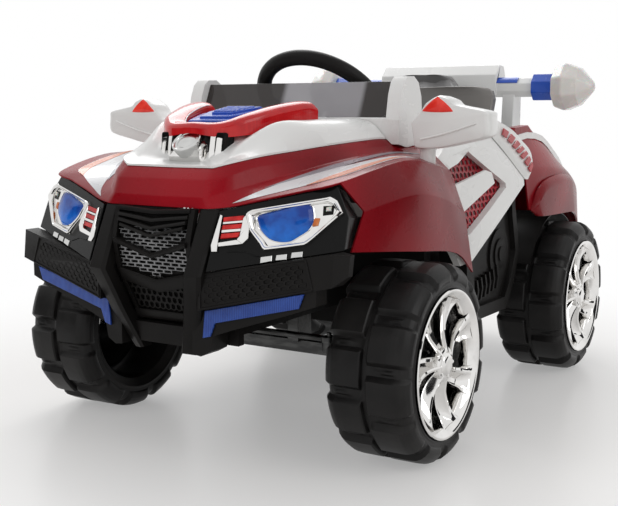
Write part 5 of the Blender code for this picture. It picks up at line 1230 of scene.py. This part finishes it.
class RIDEON_OT_front(bpy.types.Operator):
    """Makes the bumper, grille, nets and headlights"""

    bl_idname = "ride_on.front"
    bl_label = "Bumper and lamps"

    def execute(self, context):
        finished("front_bumper", "black", 0.0022)
        make("grille_frame", grille_parts(), "black", stands_for=["grille"])
        upper = [
            mesh_zone(*span, (0.0150, 0.0056), (0.0030, 0.0019), 0.85, 0.016, -0.003) for span in UPPER_NETS
        ]
        make("grille_net_upper", joined(*upper), "mesh_silver")
        lower = mesh_zone(0.232, 0.285, (0.0100, 0.0100), (0.0034, 0.0034), 0.2, 0.0, -0.002)
        make("grille_net_lower", lower, "black")
        relief, lamps = shelf_relief(), lamp_pieces()
        for side in SIDES:
            side_piece(side, "shelf_relief", relief, "black")
            finished(side + "_bumper_strip", "blue_ribbed", 0.0008)
            finished(side + "_headlight_housing", "black_smooth", 0.0015)
            for row in lamps:
                side_piece(side, *row)
        return {"FINISHED"}


def prism_part(outline, along, chamfer):
    """A flat outline carried along a vector, closed by fans from its middle, with chamfered rims."""
    p, along = np.asarray(outline, float), np.asarray(along, float)
    near, hub = inset(p, chamfer), scaled(p, 0)
    step = along * chamfer / np.linalg.norm(along)
    return sheet_of([hub, near, p + step, p + along - step, near + along, hub + along], loop_cols=True)


def smooth_rings(outline, levels, sharp, per_side=8):
    """A rounded housing: a smoothed outline, scaled and carried back at each level, closed at both ends."""
    loop = loop_curve(outline, per_side, sharp)
    return capped([scaled(loop, scale) - AHEAD * back for back, scale in levels])


SCOOP_PATH = fore(
    (0, -0.1365, 0.340), (0.040, -0.1265, 0.340), (0.066, -0.0965, 0.352), (0.083, -0.0495, 0.364),
    (0.096, -0.0045, 0.371), (0.102, 0.0265, 0.371),
)
SCOOP_POINTS = 46
SCOOP_HALF, SCOOP_GROWTH, SCOOP_HEIGHT = 0.0125, 0.0065, 0.0150


def scoop_path(count):
    """The horseshoe's middle line, with its outward direction, share of the full width and half-width."""
    arm = curve(SCOOP_PATH, SCOOP_POINTS)[:count]
    path = both_halves(arm[None])[0]
    ahead = np.gradient(path, axis=0) * (1, 1, 0)
    ahead /= np.linalg.norm(ahead, axis=1, keepdims=True)
    side = np.stack([ahead[:, 1], -ahead[:, 0], 0 * ahead[:, 0]], -1)
    share = np.minimum(1, abs(path[:, 0]) / SCOOP_PATH[2, 0])
    return path, side, share, (SCOOP_HALF + SCOOP_GROWTH * share)[:, None]


def scoop_part():
    """The red horseshoe: at share s along its path a loaf-shaped section, round on top, of half-width w(s).

    The section is (w cos t, h |sin t|^0.62) for t from 0 to pi, and w grows from the nose to the arms.
    """
    path, side, share, half = scoop_path(SCOOP_POINTS)
    end = np.abs(np.linspace(-1, 1, len(path)))
    height = SCOOP_HEIGHT * (1 - 0.55 * np.clip((end - 0.93) / 0.07, 0, 1) ** 2)
    t = np.linspace(0, np.pi, 19)
    rings = path[:, None] + side[:, None] * (half * np.cos(t))[..., None]
    rings[..., 2] += height[:, None] * np.abs(np.sin(t)) ** 0.62
    skirt = UP * (0.002 + 0.014 * share**2)[:, None, None]
    return capped(np.concatenate([rings[:, :1] - skirt, rings, rings[:, -1:] - skirt], 1))


def scoop_line():
    """The pale outline round the panel: a thin bar along the inner side of the horseshoe."""
    path, side, _, half = scoop_path(40)
    return tube(path - side * half * 0.86 + (0, 0, 0.0092), 0.0011, 8)


def panel_part():
    """The blue panel: three sloping steps with ribs across the top one."""
    base = fore(*symmetric((0.036, -0.105, 0.357), (0.056, -0.050, 0.366), (0.066, 0.012, 0.374)))
    parts = []
    for scale, rise, back in ((1.0, 0.0, 0.0), (0.78, 0.0042, 0.006), (0.52, 0.0084, 0.010)):
        parts.append(prism_part(scaled(base, scale) + (0, back, rise), (0, 0, -0.014 - rise), 0.0014))
    top = base.mean(0) + (0, 0.010, 0.0088)
    for y in -0.022 + 0.011 * np.arange(5):
        half = 0.020 + 0.14 * (y + 0.022)
        parts.append(tube(top + np.array([(x, y, 0.146 * y) for x in (-half, half)]), 0.0013, 8))
    return joined(*parts)


BADGE = np.array((0.0, -0.4900, 0.4750))
BADGE_LEAN = math.radians(39)


def badge_parts():
    """The blank badge seat: rings spun about a leaning axis, a faceted housing with bars, and a back."""
    profile = np.array([
        (-0.012, 0.0001), (-0.012, 0.0170), (0.0015, 0.0192), (0.0036, 0.0186), (0.0044, 0.0172),
        (0.0032, 0.0158), (0.0020, 0.0150), (0.0020, 0.0120), (0.0028, 0.0112), (0.0038, 0.0070),
        (0.0041, 0.0001),
    ])
    spun, faces = turned(profile * (1.1, 1.25), 48)
    c, s = math.cos(BADGE_LEAN), math.sin(BADGE_LEAN)
    out, up = np.array((0, -s, c)), np.array((0, c, s))
    disc = BADGE + spun[:, :1] * out + spun[:, 1:2] * ACROSS + spun[:, 2:] * up
    housing = capped([
        symmetric((0.030, -0.4960, 0.4440), (0.034, -0.4700, 0.4440)),
        symmetric((0.028, -0.4985, 0.4540), (0.034, -0.4680, 0.4600)),
        symmetric((0.024, -0.4930, 0.4620), (0.030, -0.4660, 0.4820)),
        symmetric((0.016, -0.4860, 0.4660), (0.022, -0.4680, 0.4880)),
    ])
    bars = []
    for sign in (-1, 1):
        for near, far, top in ((0.036, 0.044, 0.4850), (0.047, 0.056, 0.4820)):
            ring = np.array([
                (near, -0.4890, 0.4430), (far, -0.4860, 0.4430), (far, -0.4780, top), (near, -0.4800, top),
            ])
            bars.append(prism_part(ring * (sign, 1, 1), (0, 0.012, 0.001), 0.0012))
    back = symmetric((0.058, -0.4815, 0.4440), (0.062, -0.4600, 0.4440))
    return (disc, faces), joined(housing, *bars), prism_part(back, (0, 0.004, 0.0455), 0.002)


COLUMN_LEAN = math.radians(45)
HAND_WHEEL = np.array((0, -0.0985, 0.530))
GRIP_RADIUS, GRIP_THICK = 0.1135, 0.0135


def hand_wheel_part():
    """The steering wheel: a torus about the leaning column, and three oval spokes, two of them with pads.

    At share u along a spoke the section is (w(u) cos c, t sin c), and w narrows by sin(pi u) in the middle.
    """
    lean = (math.cos(COLUMN_LEAN), math.sin(COLUMN_LEAN))
    toward, up = np.array((0, *lean)), np.array((0, -lean[1], lean[0]))
    centre = HAND_WHEEL + 0.004 * toward
    a, b = (np.linspace(0, 2 * np.pi, n, endpoint=False) for n in (96, 18))
    ring = np.cos(a)[:, None] * ACROSS + np.sin(a)[:, None] * up
    reach = (GRIP_RADIUS + GRIP_THICK * np.cos(b))[None, :, None]
    grip = centre + ring[:, None] * reach + toward * (GRIP_THICK * np.sin(b))[None, :, None]
    u = np.linspace(0, 1, 12)[:, None]
    c = np.linspace(0, 2 * np.pi, 14, endpoint=False)
    spokes, pads = [], []
    for angle, wide, padded_too in ((0, 0.016, True), (180, 0.016, True), (270, 0.019, False)):
        t = math.radians(angle)
        out = math.cos(t) * ACROSS + math.sin(t) * up
        across = np.cross(toward, out)

        def bar(start, length, low, rise, wide, thick):
            path = centre + out * (start + length * u) + toward * (low + rise * u)
            section = across * (wide * np.cos(c))[..., None] + toward * (thick * np.sin(c))[None, :, None]
            return sheet_of(path[:, None] + section, loop_cols=True)

        wide = wide * (1.25 - 0.45 * np.sin(np.pi * u))
        spokes.append(bar(0.022, 0.083, -0.016, 0.012, wide, 0.006))
        if padded_too:
            pads.append(bar(0.066, 0.038, -0.003, 0.008, 0.75 * wide, 0.0065))
    return joined(sheet_of(grip, loop_rows=True, loop_cols=True), *spokes), joined(*pads)


MIRROR_OUTLINE = np.array([
    (0.2471, -0.245, 0.5018), (0.2541, -0.245, 0.5105), (0.2640, -0.245, 0.5220), (0.2728, -0.245, 0.5341),
    (0.2937, -0.245, 0.5450), (0.3122, -0.245, 0.5400), (0.3240, -0.245, 0.5310), (0.3737, -0.245, 0.5212),
    (0.3780, -0.245, 0.5108), (0.3760, -0.245, 0.4830), (0.3275, -0.245, 0.4700), (0.2952, -0.245, 0.4635),
    (0.2560, -0.245, 0.4630), (0.2510, -0.245, 0.4802),
])
TRIANGLE = np.array([(0.2675, -0.2465, 0.5205), (0.3205, -0.2465, 0.5200), (0.2935, -0.2465, 0.5430)])
GROOVE = np.array([
    (0.2661, -0.2455, 0.4773), (0.3012, -0.2462, 0.4852), (0.3309, -0.2462, 0.4940),
    (0.3577, -0.2455, 0.5025),
])


def mirror_parts():
    """A door mirror: a rounded housing on a foot, its clear red corner, and a raised line across its face."""
    levels = (
        (0.0, 0.88), (0.0012, 0.945), (0.0045, 0.985), (0.011, 1.0), (0.034, 0.985), (0.046, 0.94),
        (0.051, 0.86), (0.0515, 0.80),
    )
    shell = smooth_rings(MIRROR_OUTLINE, levels, 0.25)
    foot = tube(
        [(0.268, -0.221, 0.480), (0.268, -0.221, 0.450), (0.267, -0.221, 0.430)], (0.014, 0.012, 0.013), 20
    )
    corner = smooth_rings(TRIANGLE, ((0.0, 0.80), (0.0006, 0.92), (0.002, 1.0), (0.012, 1.0)), 0.55, 10)
    return joined(shell, foot), corner, tube(curve(GROOVE, 20), 0.0016, 8)


SEAT_LINES = np.array([
    (0.160, -0.1355, 0.105), (0.168, -0.1105, 0.230), (0.182, -0.0835, 0.320), (0.190, -0.0675, 0.392),
    (0.189, -0.0645, 0.406), (0.183, -0.0632, 0.4145), (0.170, -0.0625, 0.4195), (0.150, -0.062, 0.4215),
]) + (0, 0.3355, 0.150)
HEADREST_LINES = np.array([
    (0.100, -0.0655, 0.4000), (0.144, -0.0635, 0.4200), (0.141, -0.0610, 0.4300), (0.126, -0.0595, 0.4400),
    (0.099, -0.0580, 0.4475), (0.052, -0.0575, 0.4500),
]) + (0, 0.3355, 0.150)
PAD_ROWS, RIM_ROWS = 44, 5


def padded(lines, scoop, lift, depth):
    """A moulded back: at share v across it the sides come forward as 1 - cos(pi v / 0.9).

    The rim rolls over as 1 less the root of 1 - e squared, with e from 0 to 1 over its width.
    """
    rows = curve(lines, PAD_ROWS)
    v = np.linspace(-1, 1, 41)
    edge = np.clip((abs(v) - 0.86) / 0.14, 0, 1)
    x = rows[:, :1] * v
    forward = scoop * (1 - np.cos(np.pi * np.clip(abs(v) / 0.9, 0, 1))) / 2 * np.ones_like(x)
    roll = 0.010 * (1 - np.sqrt(1 - edge**2)) * np.ones_like(x)
    top = np.clip((np.arange(PAD_ROWS) - (PAD_ROWS - 1 - RIM_ROWS)) / RIM_ROWS, 0, 1)[:, None]
    roll = roll + 0.008 * (1 - np.sqrt(1 - top**2)) * (1 - edge)
    y = rows[:, 1:2] - forward + roll - lift
    return thickened(sheet_of(np.stack([x, y, np.repeat(rows[:, 2:], len(v), 1)], -1)), depth, AHEAD)


SHOULDER, NECK = 0.560, 0.018
HEAD_SHRINK, HEAD_BACK = 0.50, 0.055


def head_leaned(points):
    """Above the shoulders the seat is drawn in and leans back, by a smooth step of the height."""
    k = smoothstep((points[:, 2] - SHOULDER) / NECK)
    leaned = points.copy()
    leaned[:, 0] *= 1 - HEAD_SHRINK * k
    leaned[:, 1] += HEAD_BACK * k
    return leaned


class RIDEON_OT_top(bpy.types.Operator):
    """Makes the scoop, badge seat, hand wheel, mirrors and pads, and rounds the cowl, screen and controls"""

    bl_idname = "ride_on.top"
    bl_label = "Top and cabin"

    def execute(self, context):
        make("scoop_horseshoe", scoop_part(), "scoop_red", stands_for=["scoop_lens"])
        make("scoop_outline", scoop_line(), "white")
        make("scoop_steps", panel_part(), "blue_smooth", stands_for=["scoop_panel"])
        disc, housing, back = badge_parts()
        make("badge_seat", disc, "silver", stands_for=["hood_emblem"])
        make("badge_housing", housing, "chrome")
        make("badge_back", back, "black_smooth")
        wheel, pads = hand_wheel_part()
        make("hand_wheel_moulding", wheel, "black", "hand_wheel", ["steering_wheel"])
        make("hand_wheel_pads", pads, "blue_smooth", "hand_wheel")
        for node, finish, width in (
            ("horn_button", "grey", 0.0012), ("cowl", "white", 0.004), ("windscreen", "smoke", 0.0008),
            ("dash_panel", "black", 0.002), ("power_button", "clear_red", 0.001),
            ("gear_lever", "black", 0.0006), ("seat", "grey", 0.004), ("battery", "black", 0.002),
            ("spoiler", "white", 0.002), ("pedal", "black", 0.0006),
        ):
            finished(node, finish, width)
        make("seat_back_pad", padded(SEAT_LINES, 0.030, 0.0035, 0.010), "seat_warm")
        pad = padded(HEADREST_LINES, 0.006, 0.0030, 0.008)
        make("headrest_pad", (head_leaned(pad[0]), pad[1]), "grey")
        seat = bpy.data.objects["seat_moulding"].data
        flat = np.empty(3 * len(seat.vertices))
        seat.vertices.foreach_get("co", flat)
        seat.vertices.foreach_set("co", head_leaned(flat.reshape(-1, 3)).ravel())
        seat.update()
        shell, corner, line = mirror_parts()
        strip = arc_patch(
            WING_AXLE, WING_STRIP_RADIUS, np.linspace(-64, -18, 13), np.linspace(0.133, 0.184, 5), 0.001
        )
        for side in SIDES:
            side_piece(side, "mirror_housing", shell, "white", "mirror")
            side_piece(side, "mirror_lamp", corner, "mirror_red")
            side_piece(side, "mirror_line", line, "white")
            finished(side + "_pod_band", "blue_smooth")
            finished(side + "_pod", "frost", 0.004)
            side_piece(side, "spoiler_strip", strip, "blue_smooth")
        return {"FINISHED"}


MESH_OUTLINE = fore(
    (0, 0.1935, 0.268), (0, 0.2175, 0.292), (0, 0.2755, 0.310), (0, 0.3995, 0.246), (0, 0.3995, 0.232),
    (0, 0.2905, 0.190), (0, 0.2155, 0.163), (0, 0.1905, 0.180),
)
MESH_ORIGIN = fore((0.2537, 0.2735, 0.303))[0]
MESH_SLOPE_UP, MESH_SLOPE_BACK = -0.2933, 0.0616


def side_net():
    """The red net behind a side frame: six-sided holes on a plane that leans in as it rises."""
    outline = MESH_OUTLINE[:, 1:]
    middle, inside = outline.mean(0), within(outline)
    flat_points, faces = lattice(
        19, 22, (0.0150, 0.0107), (0.0044, 0.0038), 0.0, lambda q: inside(q + middle)
    )
    y, z = (flat_points + middle).T
    x = MESH_ORIGIN[0] + MESH_SLOPE_UP * (z - MESH_ORIGIN[2]) + MESH_SLOPE_BACK * (y - MESH_ORIGIN[1])
    return thickened(welded((np.stack([x, y, z], -1), faces[:, ::-1])), 0.003, ACROSS)


RAIL_INNER = np.array([
    (0.266, 0.050, 0.4785), (0.275, 0.080, 0.456), (0.2835, 0.106, 0.434), (0.296, 0.140, 0.402),
    (0.299, 0.147, 0.395),
])
RAIL_OUTER = np.array([
    (0.268, 0.074, 0.5052), (0.273, 0.141, 0.4870), (0.281, 0.176, 0.4654), (0.288, 0.195, 0.4500),
    (0.293, 0.199, 0.4340), (0.298, 0.185, 0.4150), (0.300, 0.153, 0.3950),
])


def rail_parts():
    """The arm rail: a ruled band between its inner and outer edge, and the patterned strip let into it."""
    inner, outer = curve(RAIL_INNER, 80), curve(RAIL_OUTER, 80)
    v = np.array((0, 0.06, 0.2, 0.5, 0.8, 0.94, 1.0))
    crown = 0.004 * np.sin(np.pi * v) ** 0.5
    rows = blend(inner, outer, v[:, None, None]) + ACROSS * crown[:, None, None]
    band = thickened(sheet_of(rows), 0.007, ACROSS)
    teeth = []
    for k in range(7):
        at = np.array((5, 10)) + 8 * k
        low, high = blend(rows[2, at], rows[3, at], 0.5), blend(rows[3, at], rows[4, at], 0.6)
        low = low + (low[1] - low[0]) * 0.5
        tooth = np.array([*low, *high[::-1]]) + (0.0052, 0, 0)
        teeth.append(prism_part(tooth, (-0.0030, 0, 0), 0.0004))
    return band, joined(*teeth)


FLARE_TOP = np.array([
    (0.302, 0.176, 0.335), (0.3045, 0.1974, 0.3641), (0.3060, 0.2286, 0.3838), (0.3075, 0.2704, 0.3924),
    (0.3080, 0.3233, 0.3960), (0.3050, 0.3842, 0.3922), (0.3010, 0.4150, 0.3840),
])
FLARE_HEM = np.array([
    (0.3085, 0.196, 0.322), (0.3100, 0.2150, 0.3210), (0.3110, 0.2400, 0.3200), (0.3115, 0.2750, 0.3190),
    (0.3115, 0.3300, 0.3175), (0.3110, 0.3900, 0.3160), (0.3095, 0.4250, 0.3150),
])


def flare_part():
    """The bulge over a rear wheel: at share v from its top line to the hem it stands out.

    It does so by the root of 6v, at most 1, times 1 - v/4, and less towards both ends.
    """
    top, hem = curve(FLARE_TOP, 48), curve(FLARE_HEM, 48)
    v = np.linspace(0, 1, 13)
    u = np.linspace(0, 1, 48)
    stands = 0.0090 * np.sqrt(np.clip(v * 6, 0, 1)) * (1 - 0.25 * v)
    ends = np.sqrt(np.clip(np.minimum(u, 1 - u) * 12, 0, 1))
    rows = blend(top, hem, v[:, None, None])
    rows[..., 0] += stands[:, None] * ends
    return thickened(sheet_of(rows), 0.003, ACROSS)


FIN = np.array([
    (0.262, 0.1784, 0.4700), (0.262, 0.1850, 0.4900), (0.262, 0.2652, 0.4944), (0.262, 0.2782, 0.4867),
    (0.262, 0.3312, 0.4640), (0.262, 0.2500, 0.4640),
])


WING_AXLE = np.array((0, 0.425, 0.572))
WING_STRIP_RADIUS, LINER_RADIUS = 0.0221, 0.1655


def arc_patch(middle, radius, angles, across, wall):
    """A strip of a cylinder about an axle: at angle t it lies at radius (sin t, cos t), carried across."""
    t = np.radians(angles)
    arc = np.stack([0 * t, radius * np.sin(t), radius * np.cos(t)], -1) + middle
    return thickened(sheet_of(arc + across[:, None, None] * ACROSS), wall)


class RIDEON_OT_sides(bpy.types.Operator):
    """Makes the nets, arm rails, wing flares, liners and fins, and rounds the frames and running gear"""

    bl_idname = "ride_on.sides"
    bl_label = "Sides and underside"

    def execute(self, context):
        band, teeth = rail_parts()
        liner = arc_patch(
            REAR_AXLE, LINER_RADIUS, np.linspace(-62, 62, 49), np.linspace(0.200, 0.2995, 7), 0.002
        )
        shapes = (
            ("side_net", side_net(), "net_red", "side_mesh"), ("arm_rail", band, "white"),
            ("arm_rail_strip", teeth, "decal_red"), ("wing_flare", flare_part(), "red"),
            ("arch_liner", liner, "black"), ("rear_fin", prism_part(FIN, (-0.022, 0, 0), 0.003), "red"),
        )
        for side in SIDES:
            finished(side + "_side_frame", "white", 0.003)
            for row in shapes:
                side_piece(side, *row)
            finished(side + "_gearbox", "black", 0.0015)
            finished(side + "_knuckle", "steel", 0.0006)
        finished("chassis", "black")
        finished("front_axle", "steel", 0.001)
        for node in ("rear_axle", "tie_rod", "steering_column"):
            finished(node, "steel", 0.0006)
        return {"FINISHED"}


# Stage


FLOOR_REACH = 12.0
SENSOR, FOCAL_LENGTH = 36.0, 59.38
CAMERA_AT = (0.9477, -1.6981, 0.5178)
CAMERA_TILT, CAMERA_TURN = 90 - 7.811, 31.341
# Each lamp: name, place, aim, width and power
LAMPS = (
    ("key_light", (-1.2, 1.6, 2.6), (0, 0, 0.2), 2.2, 52.0),
    ("side_light", (2.6, -0.6, 1.9), (0, 0, 0.3), 1.6, 17.0),
    ("front_light", (-0.8, -3.0, 1.6), (0, -0.2, 0.3), 2.6, 20.0),
)
# Each flag: name, place, width and height
FLAGS = (
    ("front_flag", (-2.3, -2.6, 0.8), 2.6, 1.5),
    ("side_flag", (3.0, 1.5, 0.6), 2.6, 1.1),
    ("high_flag", (1.9, -3.1, 2.2), 1.8, 0.7),
)


def board(name, width, height, material):
    """A flat board that only dresses the stage."""
    mesh = bpy.data.meshes.new(name)
    corners = symmetric((width / 2, -height / 2, 0), (width / 2, height / 2, 0))
    mesh.from_pydata(corners.tolist(), [], [(0, 1, 2, 3)])
    mesh.materials.append(material)
    piece = placed(name, mesh)
    return piece


def aimed(piece, at, aim, front):
    """Puts an object in its place, with its front axis towards the aim."""
    piece.location = at
    piece.rotation_euler = (Vector(aim) - Vector(at)).to_track_quat(front, "Y").to_euler()


class RIDEON_OT_stage(bpy.types.Operator):
    """Makes the pale floor, the world, the lights, the dark boards and the camera"""

    bl_idname = "ride_on.stage"
    bl_label = "Stage"

    def execute(self, context):
        scene = context.scene
        scene.view_settings.view_transform = "Standard"
        size = scene.ride_on_stage
        board("floor", 2 * FLOOR_REACH, 2 * FLOOR_REACH, self.floor_material())
        self.world(scene, size.fill)
        for name, at, aim, width, power in LAMPS:
            lamp = bpy.data.lights.new(name, "AREA")
            lamp.shape = "SQUARE"
            lamp.size = width
            lamp.energy = power * size.lights
            obj = placed(name, lamp)
            aimed(obj, at, aim, "-Z")
            obj.visible_glossy = name != "front_light"
        for name, at, width, height in FLAGS:
            self.flag(name, at, width, height)
        camera = bpy.data.cameras.new("camera")
        camera.sensor_width, camera.lens = SENSOR, FOCAL_LENGTH
        obj = placed("camera", camera)
        obj.location = CAMERA_AT
        obj.rotation_euler = (math.radians(CAMERA_TILT), 0, math.radians(CAMERA_TURN))
        bpy.context.scene.camera = obj
        return {"FINISHED"}

    def flag(self, name, at, width, height):
        """A dark board outside the picture that only reflections show, so that plated parts have edges."""
        look = Look(name + "_cloth", Specular_IOR_Level=0.0)
        look.set(
            Base_Color=look.mix(look.noise(3.0), (0.020, 0.020, 0.022), (0.030, 0.030, 0.032)),
            Roughness=0.9,
        )
        piece = board(name, width, height, look.material)
        aimed(piece, at, (0, 0, 0.3), "Z")
        piece.visible_camera = piece.visible_diffuse = False
        piece.visible_shadow = piece.visible_transmission = False

    def floor_material(self):
        """Pale gloss near the car, which fades to plain white further out where the picture sees it."""
        look = Look("pale_floor", Specular_IOR_Level=0.45)
        cloud = look.noise(1.5, 3.0)
        look.set(
            Base_Color=look.mix(cloud, (0.78, 0.755, 0.73), (0.84, 0.825, 0.81)),
            Roughness=0.24 + 0.10 * cloud,
        )
        far = look.node("ShaderNodeVectorMath", {"operation": "LENGTH"}, look.place)
        away = Wire(look, far.outputs["Value"]).between(0.45, 1.35)
        share = (0.32 + 0.68 * away) * look.seen()
        plain = look.node("ShaderNodeEmission", {}, (1, 1, 1, 1), 1.0)
        mixed = look.node("ShaderNodeMixShader", {}, share, look.shader.outputs[0], plain.outputs[0])
        look.feed(look.tree.nodes["Material Output"].inputs["Surface"], mixed.outputs[0])
        return look.material

    def world(self, scene, fill):
        """White where the picture sees it, and a soft light on everything else."""
        scene.world = bpy.data.worlds.new("studio")
        scene.world.use_nodes = True
        tree = Tree(scene.world.node_tree)
        tree.tree.nodes.clear()
        light, white = (tree.node("ShaderNodeBackground", {}, (1, 1, 1, 1), power) for power in (fill, 1.0))
        mixed = tree.node("ShaderNodeMixShader", {}, tree.seen(), light.outputs[0], white.outputs[0])
        tree.node("ShaderNodeOutputWorld", {}, mixed.outputs[0])


def colour_setting(name, description, default):
    return FloatVectorProperty(name=name, description=description, subtype="COLOR", default=default)


class RideOnColours(bpy.types.PropertyGroup):
    red: colour_setting("Red", "Lacquered shells", (0.33, 0.0040, 0.0115))
    white: colour_setting("White", "Hood, cowl and trim", (0.80, 0.80, 0.79))
    black: colour_setting("Black", "Tub and bumper", (0.0115, 0.0105, 0.0100))
    blue: colour_setting("Blue", "Lenses and scoop", (0.012, 0.080, 0.55))


class RideOnStage(bpy.types.PropertyGroup):
    fill: FloatProperty(name="Fill", description="Light from all round", default=0.50)
    lights: FloatProperty(name="Lights", description="Strength of the three lamps", default=1.0)


class RIDEON_PT_panel(bpy.types.Panel):
    bl_idname = "RIDEON_PT_panel"
    bl_label = "Ride-on car"
    bl_space_type = "VIEW_3D"
    bl_region_type = "UI"
    bl_category = "Ride-on"

    def draw(self, context):
        for kind in OPERATORS:
            self.layout.operator(kind.bl_idname)
        for group in (context.scene.ride_on_colours, context.scene.ride_on_stage):
            for name in group.__annotations__:
                self.layout.prop(group, name)


OPERATORS = (
    RIDEON_OT_stage, RIDEON_OT_front_body, RIDEON_OT_hood, RIDEON_OT_rear_body, RIDEON_OT_wheels,
    RIDEON_OT_front, RIDEON_OT_top, RIDEON_OT_sides,
)
GROUPS = (RideOnColours, RideOnStage)


def register():
    for kind in (*GROUPS, *OPERATORS, RIDEON_PT_panel):
        bpy.utils.register_class(kind)
    bpy.types.Scene.ride_on_colours = PointerProperty(type=RideOnColours)
    bpy.types.Scene.ride_on_stage = PointerProperty(type=RideOnStage)


def unregister():
    del bpy.types.Scene.ride_on_colours, bpy.types.Scene.ride_on_stage
    for kind in reversed((*GROUPS, *OPERATORS, RIDEON_PT_panel)):
        bpy.utils.unregister_class(kind)


def main():
    register()
    for kind in OPERATORS:
        group, name = kind.bl_idname.split(".")
        getattr(getattr(bpy.ops, group), name)()


if __name__ == "__main__":
    main()
